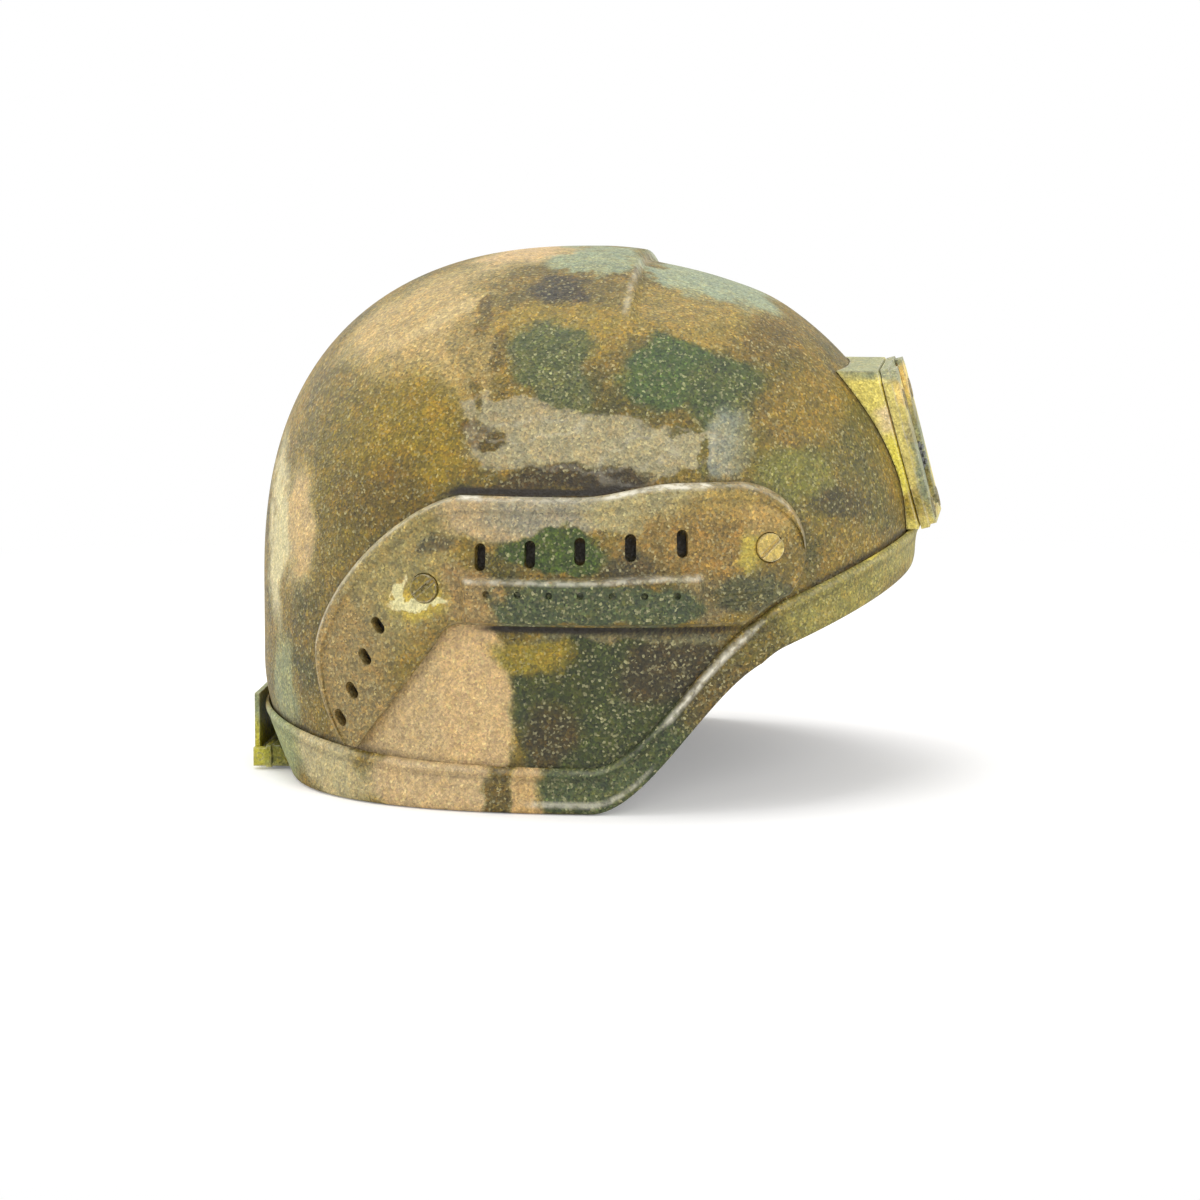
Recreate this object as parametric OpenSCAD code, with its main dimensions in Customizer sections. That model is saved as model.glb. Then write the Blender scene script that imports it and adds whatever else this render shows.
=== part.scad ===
// Full-cut combat helmet with side accessory rails and a front mounting shroud.
// +X is the front, +Z is up, and the helmet stands on its edge trim at z = 0.

/* [Shell] */
// Forward reach of the shell from its middle
front_len = 131; // [124:1:138]
// Rearward reach of the shell from its middle
rear_len = 137.5; // [132:0.5:144]
// Half of the shell's width
half_w = 120; // [114:1:126]
// Height of the crown above the table
crown_z = 214; // [206:1:222]
// Thickness of the moulded laminate
shell_wall = 8; // [6:0.5:9]
// How far the ear covers hang below the brow
ear_drop = 61; // [56:1:66]
// Where the ear cover's front edge starts to rise, measured forward
ear_back = 9; // [0:1:14]
// Where the ear cover's front edge meets the brow, measured forward
temple_x = 83; // [76:1:88]
// Outward flare of the edge at the ears
ear_flare = 2; // [0:0.5:3]
// How far the edge draws in at the brow
brow_tuck = 4.5; // [2:0.5:7]
// How far the edge draws in at the nape
nape_tuck = 15; // [8:0.5:16]

/* [Edge trim] */
// Thickness of the rubber
trim_wall = 2.6; // [2:0.2:3.2]
// Width of the outer lip at the ears
trim_lip = 16; // [12:0.5:18]
// Extra width of the outer lip at the nape
nape_lip = 10.5; // [4:0.5:12]
// Width of the inner lip
inner_lip = 11; // [8:0.5:13]

/* [Side rails] */
// Thickness of the rail plate
rail_wall = 5.4; // [4.4:0.2:6.4]
// Height of the accessory track above the plate
track_rise = 3.4; // [2.4:0.2:4.4]
// Height of the rail's straight arm
rail_h = 50; // [47:1:52]
// Pitch of the lashing slots
slot_pitch = 19.3; // [17:0.1:20]
// Width of a lashing slot
slot_w = 4.4; // [3:0.2:5]
// Length of a lashing slot
slot_len = 11; // [8:0.5:12]

/* [Front shroud] */
// Height of the shroud plate
shroud_h = 67; // [62:1:70]
// Width of the shroud plate at its top
shroud_top_w = 62; // [58:1:66]
// Width of the shroud plate at its foot
shroud_foot_w = 48; // [46:1:52]
// Depth of the raised guide frame
frame_rise = 3; // [3:0.25:3.5]
// Thickness of the plate under the frame
shroud_wall = 3.5; // [3:0.25:3.75]
// Radius of the bore for an accessory's locking post
post_r = 5; // [4:0.25:5.5]

/* [Liner and harness] */
// Thickness of the foam pads
pad_t = 19; // [14:1:21]
// Width of the webbing
web_w = 20; // [16:1:22]
// Thickness of the webbing
web_t = 1.8; // [1.4:0.1:2.2]

/* [Fasteners] */
// Radius of the rail bolts
bolt_r = 2.5; // [2:0.1:2.8]
// Radius of the rail bolts' heads
head_r = 5.6; // [5:0.2:6.2]
// Radius of the shroud screws
screw_r = 2; // [1.6:0.1:2.2]

/* [Hidden] */

// Fit between pieces that touch, and between the shell's inside and what seats on it
fit = 0.3;
seat = 0.6;
// Points round the shell and rows up its side
around = 72;
rows = 16;
row_spread = 1.2;
// Exponent of the plan outline, and the heights and exponents of the three side profiles
plan_n = 2.25;
front_z0 = 98;
front_p = 1.9;
rear_z0 = 75;
rear_p = 2.5;
side_z0 = 70;
side_p = 2.35;
// Height over which the edge flares or draws in, and the slope of the edge towards the brow
flare_h = 44;
brow_slope = 0.4;
brow_start = 74;
// Thickness of trim under the shell's edge
trim_sole = 2.5;

olive = "olivedrab";
tan_paint = "tan";
rubber = "darkolivegreen";
foam = "dimgray";
webbing = "darkkhaki";
steel = "gray";
nylon = "darkslategray";

// Signed power, the base of the super-ellipse outline
function spow(c, e) = sign(c)*pow(abs(c), e);
function ease(u) = let (v = max(0, min(1, u))) v*v*(3 - 2*v);
function mix(a, b, k) = a + (b - a)*k;
function unit(v) = v/norm(v);

// Share of the full reach that is left at height z
function fall(z, z0, p, top) = z <= z0 ? 1 : pow(max(0, 1 - pow(min(1, (z - z0)/(top - z0)), p)), 1/p);

// Height of the shell's edge at a forward position, without the trim under it
function rim_at(x) = trim_sole + ear_drop*ease((x - ear_back)/(temple_x - ear_back))
    + brow_slope*max(0, x - brow_start);

// Outward push of the surface near the edge: out at the ears, in at the brow and the nape
function edge_push(x) = x > 0
    ? ear_flare - (brow_tuck + ear_flare)*pow(min(1, x/front_len), 4)
    : ear_flare - (nape_tuck + ear_flare)*pow(min(1, -x/rear_len), 4);
function flare(x, z) = edge_push(x)*pow(max(0, 1 - max(0, z - rim_at(x))/flare_h), 2);

// Half depth and half width of the plan outline at height z, offset outward by d
function reach(front, z, d) = front
    ? (front_len + d)*fall(z, front_z0, front_p, crown_z + d)
    : (rear_len + d)*fall(z, rear_z0, rear_p, crown_z + d);
function breadth(z, d) = (half_w + d)*fall(z, side_z0, side_p, crown_z + d);

// Point on the offset surface at azimuth t and height z
function rim_x(t) = (cos(t) > 0 ? front_len : rear_len)*spow(cos(t), 2/plan_n);
function skin_at(t, z, d) = let (f = flare(rim_x(t), z)) [
    (reach(cos(t) > 0, z, d) + f)*spow(cos(t), 2/plan_n),
    (breadth(z, d) + f)*spow(sin(t), 2/plan_n), z];

// Sideways distance of the offset surface at x and z, and its forward distance at y and z
function side_y(x, z, d) = let (f = flare(x, z), a = reach(x > 0, z, d) + f)
    (breadth(z, d) + f)*pow(max(0, 1 - pow(min(1, abs(x)/a), plan_n)), 1/plan_n);
function end_share(y, b) = pow(max(0, 1 - pow(min(1, abs(y)/b), plan_n)), 1/plan_n);
function end_flare(front, share, z) = flare((front ? front_len : -rear_len)*share, z);
function end_x(front, y, z, d) = let (
    b = breadth(z, d), f0 = end_flare(front, end_share(y, b), z), share = end_share(y, b + f0))
    (reach(front, z, d) + end_flare(front, share, z))*share;

// Turn about Z and upward lean of the right side's outward normal
function wall_turn(x, z) = atan(-(side_y(x + 1, z, 0) - side_y(x - 1, z, 0))/2);
function wall_lean(x, z) = atan(-(side_y(x, z + 1, 0) - side_y(x, z - 1, 0))/2);

// Closed skin through rings of n points, from a start pole to an end pole
module skin(rings, start, end) {
    n = len(rings[0]);
    m = len(rings);
    last = 1 + m*n;
    polyhedron(
        points = concat([start], [for (r = rings) for (p = r) p], [end]),
        faces = concat(
            [for (j = [0:n - 1]) [0, 1 + j, 1 + (j + 1)%n]],
            [for (i = [0:m - 2]) for (j = [0:n - 1])
                let (a = 1 + i*n + j, b = 1 + i*n + (j + 1)%n) [a, a + n, b + n]],
            [for (i = [0:m - 2]) for (j = [0:n - 1])
                let (a = 1 + i*n + j, b = 1 + i*n + (j + 1)%n) [a, b + n, b]],
            [for (j = [0:n - 1]) [last, last - n + (j + 1)%n, last - n + j]]));
}

// Skin through rings that run round and meet their own start
module loop_skin(rings) {
    n = len(rings[0]);
    m = len(rings);
    polyhedron(
        points = [for (r = rings) for (p = r) p],
        faces = concat(
            [for (i = [0:m - 1]) for (j = [0:n - 1])
                let (a = i*n + j, b = i*n + (j + 1)%n, c = ((i + 1)%m)*n) [a, c + j, c + (j + 1)%n]],
            [for (i = [0:m - 1]) for (j = [0:n - 1])
                let (a = i*n + j, b = i*n + (j + 1)%n, c = ((i + 1)%m)*n) [a, c + (j + 1)%n, b]]));
}

function middle(pts) = [for (k = [0:2]) let (s = [for (p = pts) p[k]]) (s*[for (v = s) 1])/len(s)];

// Puts children on the right wall at x, z: their Z is the outward normal and their Y is up the wall
module on_wall(x, z, d = 0) {
    turn = wall_turn(x, z);
    lean = wall_lean(x, z);
    translate([x, -side_y(x, z, 0), z]) rotate([0, 0, turn]) rotate([90 - lean, 0, 0])
        translate([0, 0, d]) children();
}

module both_sides() {
    children();
    mirror([0, 1, 0]) children();
}

// Rounded bar outline, as long as length from end to end
module slot_outline(length, width) {
    circle(d = width, $fn = 32);
    translate([0, length - width]) circle(d = width, $fn = 32);
    translate([-width/2, 0]) square([width, length - width]);
}

// Shell

bolt_front_x = 76;
bolt_front_z = 104;
bolt_rear_x = -0.4*rear_len;
bolt_rear_z = 88;
bolt_spots = [[bolt_front_x, bolt_front_z], [bolt_rear_x, bolt_rear_z]];
sleeve_r = bolt_r + 1.4;
sleeve_fit = 0.15;

module shell() {
    color(olive) difference() {
        skin(
            concat(
                [for (i = [rows - 1:-1:0]) [for (j = [0:around - 1]) shell_point(j, i, -shell_wall)]],
                [for (i = [0:rows - 1]) [for (j = [0:around - 1]) shell_point(j, i, 0)]]),
            [0, 0, crown_z - shell_wall], [0, 0, crown_z]);
        both_sides() for (s = bolt_spots)
            on_wall(s[0], s[1], -2.5*shell_wall)
                cylinder(r = sleeve_r + sleeve_fit, h = 4*shell_wall, $fn = 32);
        on_shroud() for (s = screw_spots)
            translate([-shroud_reach, s[0], s[1]]) rotate([0, 90, 0])
                cylinder(r = screw_r + 1.2, h = shroud_reach, $fn = 32);
        clip_screw_holes(screw_r + fit);
    }
}
function shell_point(j, i, d) = let (t = 360*j/around, low = rim_at(rim_x(t)))
    skin_at(t, low + (crown_z + d - low)*sin(90*pow(i/rows, row_spread)), d);

// Edge trim: a rubber U that is pushed over the shell's edge and is wider at the nape

function lip_width(x) = trim_lip + nape_lip*pow(max(0, min(1, -x/rear_len)), 3);
function trim_section(t) = let (
    x = rim_x(t), low = rim_at(x), lip = lip_width(x), out = fit + trim_wall,
    in = -shell_wall - fit - trim_wall)
    [for (q = [
        [lip, fit + 0.1],
        [lip - 0.6, out - 0.9],
        [lip - 2.2, out],
        [0.45*lip, out],
        [1, out + 0.4],
        [-trim_sole, out - 1],
        [-trim_sole, -shell_wall],
        [1.5, in],
        [inner_lip - 1, in + 0.6],
        [inner_lip, -shell_wall - fit],
        [-fit, -shell_wall - fit],
        [-fit, fit + 0.1],
        [0.45*lip, fit + 0.1]]) skin_at(t, low + q[0], q[1])];
module edge_trim() {
    color(rubber) difference() {
        loop_skin([for (j = [0:around - 1]) trim_section(360*j/around)]);
        clip_screw_holes(screw_r + fit);
    }
}

// Side rails. The outline is a large arc at the back, a straight upper edge, a round nose
// and a straight lower edge.

rail_low = 74.5;
rail_nose_x = 64;
rail_bend_x = -42;
rail_bend_r = 62.5;
rail_bend_drop = 60;
rail_bend_e = 4/3;
rail_tip_angle = 218;
rail_steps_nose = 6;
rail_steps_arm = 12;
rail_steps_bend = 15;
nose_flat = 14;
heel = [-52, 66.5];
rail_top = rail_low + rail_h;
nose_rise = 5.5;
nose_r = (rail_h + nose_rise)/2;
tip = bend_point(rail_tip_angle) + [6, -0.5];
track_x0 = -42;
track_x1 = 54;
track_low = 76.5;
track_top = 94;

// Upper and lower edge of the rail at step k, as x and z
function bend_point(a) = [
    rail_bend_x + rail_bend_r*spow(cos(a), sin(a) > 0 ? rail_bend_e : 1),
    rail_bend_drop + (sin(a) > 0 ? rail_top - rail_bend_drop : rail_bend_drop)
        *spow(sin(a), sin(a) > 0 ? rail_bend_e : 1)];
function above_lip(p) = [p[0], max(p[1], rim_at(p[0]) + lip_width(p[0]) + 1)];
function rail_upper(k) =
    k < rail_steps_nose ? let (a = mix(nose_flat, 90, k/rail_steps_nose))
        [rail_nose_x + nose_r*cos(a), rail_low + nose_r + nose_r*sin(a)] :
    k < rail_steps_nose + rail_steps_arm ?
        let (x = mix(rail_nose_x, rail_bend_x, (k - rail_steps_nose)/rail_steps_arm))
        [x, rail_top + nose_rise*ease((x - 3)/40)] :
    bend_point(mix(90, rail_tip_angle, (k - rail_steps_nose - rail_steps_arm)/rail_steps_bend));
function rail_lower(k) =
    k < rail_steps_nose ? let (a = mix(-nose_flat, -90, k/rail_steps_nose))
        above_lip([rail_nose_x + nose_r*cos(a), rail_low + nose_r + nose_r*sin(a)]) :
    k < rail_steps_nose + rail_steps_arm ?
        [mix(rail_nose_x, rail_bend_x, (k - rail_steps_nose)/rail_steps_arm), rail_low] :
    let (u = (k - rail_steps_nose - rail_steps_arm)/rail_steps_bend, w = min(1, u/0.25))
        u < 0.25 ? pow(1 - w, 2)*[rail_bend_x, rail_low] + 2*w*(1 - w)*[rail_bend_x - 6, rail_low] + w*w*heel
            : mix(heel, tip, (u - 0.25)/0.75);

// Height of the rail's face above the shell across its width, from upper edge to lower edge
rail_rows = [[0, 2.4, 0], [0.03, 0.2, 0], [0.09, 0.2, 0], [0.12, 1, 0], [0.36, 1, 0], [0.61, 1, 0],
    [0.645, 1, 1], [0.8, 1, 1], [0.955, 1, 1], [1, 2.6, 0]];
rail_back_rows = [9, 7, 5, 4, 3, 0];
function on_track(x) = ease((x - track_x0)/3)*ease((track_x1 - x)/3);
function rail_face(k, row) = let (
    p = mix(rail_upper(k), rail_lower(k), row[0]),
    straight = k >= rail_steps_nose && k <= rail_steps_nose + rail_steps_arm + 1 ? 1 : 0,
    rise = row[2]*track_rise*on_track(p[0])*straight)
    [p[0], -side_y(p[0], p[1], fit + rail_wall - row[1] + 1 + rise), p[1]];
function rail_back(k, row) = let (p = mix(rail_upper(k), rail_lower(k), row[0]))
    [p[0], -side_y(p[0], p[1], fit + 0.1), p[1]];
function rail_ring(k) = concat(
    [for (row = rail_rows) rail_face(k, row)],
    [for (i = rail_back_rows) rail_back(k, rail_rows[i])]);
function rail_slot_x(i) = 44 - slot_pitch*i;
rear_slot_spots = [[-73, 71], [-78.5, 58], [-84, 44], [-89, 32.5]];
slot_mid_z = 103.3;
slot_rise = 0.075;
notch_pitch = 12;
notch_z = mix(track_low, track_top, 0.6);
// Height of the bolt head's seat above the shell
seat_d = 4;

module rail_body() {
    steps = rail_steps_nose + rail_steps_arm + rail_steps_bend;
    first = rail_ring(0);
    final = rail_ring(steps);
    skin([for (k = [0:steps]) rail_ring(k)], middle(first), middle(final));
}
module rail() {
    color(tan_paint) difference() {
        rail_body();
        for (s = bolt_spots) on_wall(s[0], s[1], -2) {
            cylinder(r = bolt_r + fit, h = rail_wall + 12, $fn = 32);
            translate([0, 0, seat_d + 2 - fit]) cylinder(r = head_r + 0.5, h = 12, $fn = 48);
        }
        for (i = [0:4]) on_wall(rail_slot_x(i), slot_mid_z + slot_rise*rail_slot_x(i), -2)
            translate([0, -slot_len/2 + slot_w/2]) linear_extrude(rail_wall + 8)
                slot_outline(slot_len, slot_w);
        for (s = rear_slot_spots) on_wall(s[0], s[1], -2)
            rotate([0, 0, 40]) translate([0, -slot_w/2]) linear_extrude(rail_wall + 8)
                slot_outline(7.5, slot_w);
        for (i = [0:6])
            on_wall(track_x0 + 12 + notch_pitch*i, notch_z, rail_wall + track_rise - 0.5)
                cylinder(r = 1.3, h = 4, $fn = 24);
    }
}
module rail_right() { rail(); }
module rail_left() { mirror([0, 1, 0]) rail(); }

// Rail bolts, post nuts and harness brackets, each on the wall's normal

flange_r = 9;
flange_t = 1.8;
bracket_t = 1.5;
bracket_gap = 1.68;
bracket_tilt = 8;
bend_y = 9.8;
bracket_w = 26;
bracket_drop = 22;
flange_d = -shell_wall - bracket_gap - bracket_t - fit - flange_t;

module rail_bolts() {
    color(steel) both_sides() for (s = bolt_spots) on_wall(s[0], s[1]) difference() {
        union() {
            translate([0, 0, flange_d + 0.5]) cylinder(r = bolt_r, h = seat_d + 1 - flange_d, $fn = 32);
            translate([0, 0, seat_d]) cylinder(r = head_r, h = 2.4, $fn = 48);
        }
        rotate([0, 0, 40]) translate([-head_r - 1, -0.8, seat_d + 1.4]) cube([2*head_r + 2, 1.6, 2]);
    }
}
module rail_nuts() {
    color(steel) both_sides() for (s = bolt_spots) on_wall(s[0], s[1]) difference() {
        union() {
            translate([0, 0, flange_d]) cylinder(r = flange_r, h = flange_t, $fn = 48);
            translate([0, 0, flange_d]) cylinder(r = sleeve_r, h = -flange_d - 0.6, $fn = 48);
        }
        translate([0, 0, flange_d - 1]) cylinder(r = bolt_r + 0.05, h = 30, $fn = 48);
    }
}
// Outline of a bracket: round at the top, with rounded corners at the foot
function bracket_outline() = concat(
    [for (a = [0:7.5:180]) bracket_w/2*[cos(a), sin(a)]],
    [for (a = [180:15:270]) [-bracket_w/2 + 3, -bracket_drop + 3] + 3*[cos(a), sin(a)]],
    [for (a = [270:15:360]) [bracket_w/2 - 3, -bracket_drop + 3] + 3*[cos(a), sin(a)]]);
// Sheet steel that lies flat under the nut and is bent inward below it, with a slot for the webbing
module bracket() {
    end = bracket_drop + 1;
    fall_in = (end - bend_y)*tan(bracket_tilt);
    difference() {
        intersection() {
            translate([0, 0, -8]) linear_extrude(16) polygon(bracket_outline());
            translate([-bracket_w, 0, 0]) rotate([90, 0, 90]) linear_extrude(2*bracket_w) polygon([
                [bracket_w, 0], [bracket_w, bracket_t], [-bend_y, bracket_t],
                [-end, bracket_t - fall_in], [-end, -fall_in], [-bend_y, 0]]);
        }
        translate([-web_w/2 - 0.8, -bracket_drop + 3, -8]) cube([web_w + 1.6, 4.6, 16]);
        translate([0, 0, -1]) cylinder(r = sleeve_r + fit, h = 5, $fn = 32);
    }
}
module harness_brackets() {
    color(steel) both_sides() for (s = bolt_spots)
        on_wall(s[0], s[1], -shell_wall - bracket_gap - bracket_t) bracket();
}

// Front shroud, drawn in its own frame: X out of the plate's face, Y left and Z up the face

shroud_stand = 9.4;
// The foot stands clear of the trim, and the plate leans back with the wall behind its lower half
shroud_foot_z = rim_at(front_len) + trim_lip + 1.7;
lean_share = 0.9565;
function front_x(v) = reach(true, shroud_foot_z + v, 0);
shroud_lean = asin(lean_share*(front_x(0) - front_x(shroud_h/2))*2/shroud_h);
shroud_reach = 60;
screw_spots = [[-23, 53], [23, 53], [-19.5, 7], [19.5, 7]];
plate_back = -frame_rise - shroud_wall;
window_w = 22;
window_low = 8;
window_h = 28;
lock_low = window_low + 11;
lock_h = 15;
spring_r = 1;
spring_wire = 0.3;

module on_shroud() {
    translate([front_len + shroud_stand, 0, shroud_foot_z]) rotate([0, -shroud_lean, 0]) children();
}
// Extrudes a drawing of the face, Y across and Z up, from depth a to depth b
module face_extrude(a, b) {
    translate([a, 0, 0]) rotate([90, 0, 90]) linear_extrude(b - a) children();
}
module plate_outline(inset, top_w, foot_w) {
    polygon([
        [-foot_w/2 + inset, inset], [foot_w/2 - inset, inset],
        [foot_w/2 + 2 - inset, 6], [top_w/2 - inset, shroud_h - 12],
        [top_w/2 - inset, shroud_h - 5], [top_w/2 - 5, shroud_h - inset],
        [-top_w/2 + 5, shroud_h - inset], [-top_w/2 + inset, shroud_h - 5],
        [-top_w/2 + inset, shroud_h - 12], [-foot_w/2 - 2 + inset, 6]]);
}
// Solid between the plate's back and the curved shell
saddle_cols = 10;
saddle_rows = 8;
function saddle_edge(v) = v < 6 ? shroud_foot_w/2 + 2*v/6
    : mix(shroud_foot_w/2 + 2, shroud_top_w/2, min(1, (v - 6)/(shroud_h - 18)));
function saddle_point(i, j, outer) = let (
    v = shroud_h*j/saddle_rows, y = saddle_edge(v)*(2*i/saddle_cols - 1),
    face_x = front_len + shroud_stand + (plate_back - fit)*cos(shroud_lean) - v*sin(shroud_lean),
    face_z = shroud_foot_z + (plate_back - fit)*sin(shroud_lean) + v*cos(shroud_lean),
    wall_x = end_x(true, y, face_z, fit))
    outer ? [max(face_x, wall_x + 0.3), y, face_z] : [wall_x, y, face_z];
module shroud_saddle() {
    color(olive) difference() {
        skin(concat(
                [for (j = [0:saddle_rows]) concat(
                    [for (i = [0:saddle_cols]) saddle_point(i, j, true)],
                    [for (i = [saddle_cols:-1:0]) saddle_point(i, j, false)])]),
            middle([saddle_point(0, 0, true), saddle_point(0, 0, false), saddle_point(saddle_cols, 0, true),
                saddle_point(saddle_cols, 0, false)]),
            middle([saddle_point(0, saddle_rows, true), saddle_point(0, saddle_rows, false),
                saddle_point(saddle_cols, saddle_rows, true),
                saddle_point(saddle_cols, saddle_rows, false)]));
        on_shroud() for (s = screw_spots) translate([-shroud_reach, s[0], s[1]]) rotate([0, 90, 0])
            cylinder(r = screw_r + fit, h = shroud_reach, $fn = 32);
    }
}
module shroud_plate() {
    color(tan_paint) on_shroud() difference() {
        union() {
            face_extrude(plate_back, -frame_rise) plate_outline(0, shroud_top_w, shroud_foot_w);
            face_extrude(-frame_rise, 0) difference() {
                plate_outline(1, shroud_top_w, shroud_foot_w);
                translate([-window_w/2 - 4, 5]) square([window_w + 8, shroud_h]);
            }
            face_extrude(-frame_rise, -1.2)
                translate([-shroud_foot_w/2 + 3, 1]) square([shroud_foot_w - 6, 5]);
        }
        // Undercut guides that an accessory's foot slides down
        face_extrude(-frame_rise, -2) translate([-window_w/2 - 6, 12]) square([window_w + 12, shroud_h]);
        // Window for the locking slide
        face_extrude(plate_back - 1, -frame_rise + 1)
            translate([-window_w/2, window_low]) square([window_w, window_h]);
        // Bore for an accessory's post
        translate([plate_back - 1, 0, window_low + window_h + 12]) rotate([0, 90, 0])
            cylinder(r = post_r, h = shroud_wall + 2, $fn = 64);
        // Screw seats
        for (s = screw_spots) translate([0, s[0], s[1]]) rotate([0, 90, 0]) {
            translate([0, 0, plate_back - 1]) cylinder(r = screw_r + fit, h = 20, $fn = 32);
            translate([0, 0, -frame_rise + 1.2]) cylinder(r = 2*screw_r + 0.5, h = 10, $fn = 32);
        }
    }
}
// Locking slide with a finger rib; it drops against its spring to free the accessory
module shroud_lock() {
    color(nylon) on_shroud() difference() {
        union() {
            face_extrude(plate_back + 0.4, -frame_rise + 0.5)
                translate([-window_w/2 + fit, lock_low]) square([window_w - 2*fit, lock_h]);
            face_extrude(-frame_rise + fit, -2 - fit)
                translate([-window_w/2 - 5.6, lock_low]) square([window_w + 11.2, 7]);
            face_extrude(-frame_rise, -frame_rise + 2.6)
                translate([-window_w/2 + 4, lock_low + 3]) square([window_w - 8, lock_h - 5]);
            for (v = [4.5, 7.5, 10.5]) face_extrude(-frame_rise, -frame_rise + 3.6)
                translate([-window_w/2 + 5, lock_low + v]) square([window_w - 10, 1.2]);
        }
        for (y = [-6, 6]) translate([(plate_back - frame_rise)/2, y, lock_low - 1])
            cylinder(r = spring_r + 0.5, h = 5, $fn = 32);
    }
}
spring_turns = 5;
spring_steps = 8;
function spring_centre(k, h0, h1) = [spring_r*cos(360*k/spring_steps), spring_r*sin(360*k/spring_steps),
    mix(h0, h1, k/(spring_turns*spring_steps))];
function spring_ring(k, h0, h1) =
    let (c = spring_centre(k, h0, h1), a = 360*k/spring_steps, r = [cos(a), sin(a), 0])
    [for (q = [0:3]) c + spring_wire*(r*cos(90*q) + [0, 0, 1]*sin(90*q))];
module lock_spring() {
    low = window_low + spring_wire + 0.2;
    high = lock_low + 4 - spring_wire - 0.2;
    last = spring_turns*spring_steps;
    color(steel) on_shroud() for (y = [-6, 6]) translate([(plate_back - frame_rise)/2, y, 0])
        skin([for (k = [0:last]) spring_ring(k, low, high)],
            spring_centre(0, low, high), spring_centre(last, low, high));
}
// Thin cover that keeps the slide and its springs in the window from behind
module lock_keeper() {
    color(steel) on_shroud() face_extrude(plate_back + fit/2, plate_back + fit + 0.05)
        translate([-window_w/2 + 0.5, window_low + 0.5]) square([window_w - 1, window_h - 1]);
}
module shroud_screws() {
    color(steel) on_shroud() for (s = screw_spots)
        translate([0, s[0], s[1]]) rotate([0, 90, 0]) difference() {
        union() {
            translate([0, 0, -frame_rise + 1.4]) cylinder(r = 2*screw_r, h = 2, $fn = 48);
            translate([0, 0, -screw_len(s)])
                cylinder(r = screw_r, h = screw_len(s) - frame_rise + 2, $fn = 32);
        }
        translate([0, 0, -frame_rise + 2.4]) cylinder(r = 1.2, h = 2, $fn = 6);
    }
}
// Depth from the plate's face to a nut inside the shell
nut_t = 2;
function nut_gap(s) = s[1] > shroud_h/2 ? 2.8 : 2;
function screw_len(s) = let (
    depth = plate_back - shell_wall - nut_gap(s),
    z = shroud_foot_z + s[1]*cos(shroud_lean) + depth*sin(shroud_lean),
    face_x = front_len + shroud_stand - s[1]*sin(shroud_lean))
    (face_x - end_x(true, s[0], z, -shell_wall))/cos(shroud_lean) + nut_gap(s) + nut_t + 0.6;
module shroud_nuts() {
    color(steel) on_shroud() for (s = screw_spots) translate([0, s[0], s[1]]) rotate([0, 90, 0])
        translate([0, 0, 0.6 - screw_len(s)]) difference() {
            cylinder(r = 5, h = nut_t, $fn = 48);
            translate([0, 0, -1]) cylinder(r = screw_r + 0.05, h = 5, $fn = 32);
        }
}

// Liner pads: crowned foam cushions that follow the inside of the shell

disc_t = 1;
pad_back = -shell_wall - seat - disc_t - 0.5;
pad_points = 22;
// Rings of a pad as share of its outline and share of its thickness
pad_rings = [[0.55, 0], [0.94, 0.04], [1, 0.3], [1, 0.68], [0.9, 0.93], [0.62, 1.02]];
function pad_round(a, e) = [spow(cos(a), e), spow(sin(a), e)];
// kind 0 is a right side pad centred at x, 1 the front, 2 the rear; c is the centre, h the half sizes
function pad_point(kind, c, h, q, depth, taper) = let (
    z = c[1] + q[1]*h[1], w = c[0] + q[0]*h[0]*(1 - taper*q[1]))
    kind == 0 ? [w, -side_y(w, z, depth), z] :
    kind == 1 ? [end_x(true, w, z, depth), w, z] : [-end_x(false, w, z, depth), -w, z];
function pad_ring(kind, c, h, share, back, depth, taper) =
    [for (j = [0:pad_points - 1]) let (a = 360*j/pad_points, q = pad_round(a, 0.55)*share)
        pad_point(kind, c, h, [kind == 1 ? -q[0] : kind == 2 ? -q[0] : -q[0], q[1]], back - depth, taper)];
module pad(kind, c, h, back, thick, taper = 0, rings = pad_rings) {
    skin([for (r = rings) pad_ring(kind, c, h, r[0], back, r[1]*thick, taper)],
        pad_point(kind, c, h, [0, 0], back, taper), pad_point(kind, c, h, [0, 0], back - 1.05*thick, taper));
}
side_pad_h = [28, 27];
side_front_c = [30, 134];
side_rear_c = [-34, 132];
front_pad_c = [0, shroud_foot_z + 27];
front_pad_h = [46, 24];
front_gap = 5.5;
rear_pad_c = [0, 112];
rear_pad_h = [46, 28];
nape_pad_c = [0, 58];
nape_pad_h = [44, 17];
nape_pad_t = 12;
disc_rings = [[1, 0], [1, 1]];
crown_low = 0.8;
function dome_ring(k, depth) = [for (j = [0:around/4 - 1])
    let (t = 360*j/(around/4), low = rim_at(rim_x(t)))
        skin_at(t, low + (crown_z + depth - low)*sin(90*k), depth)];
function crown_ring(share, depth) = dome_ring(1 - (1 - crown_low)*share, depth);

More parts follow.
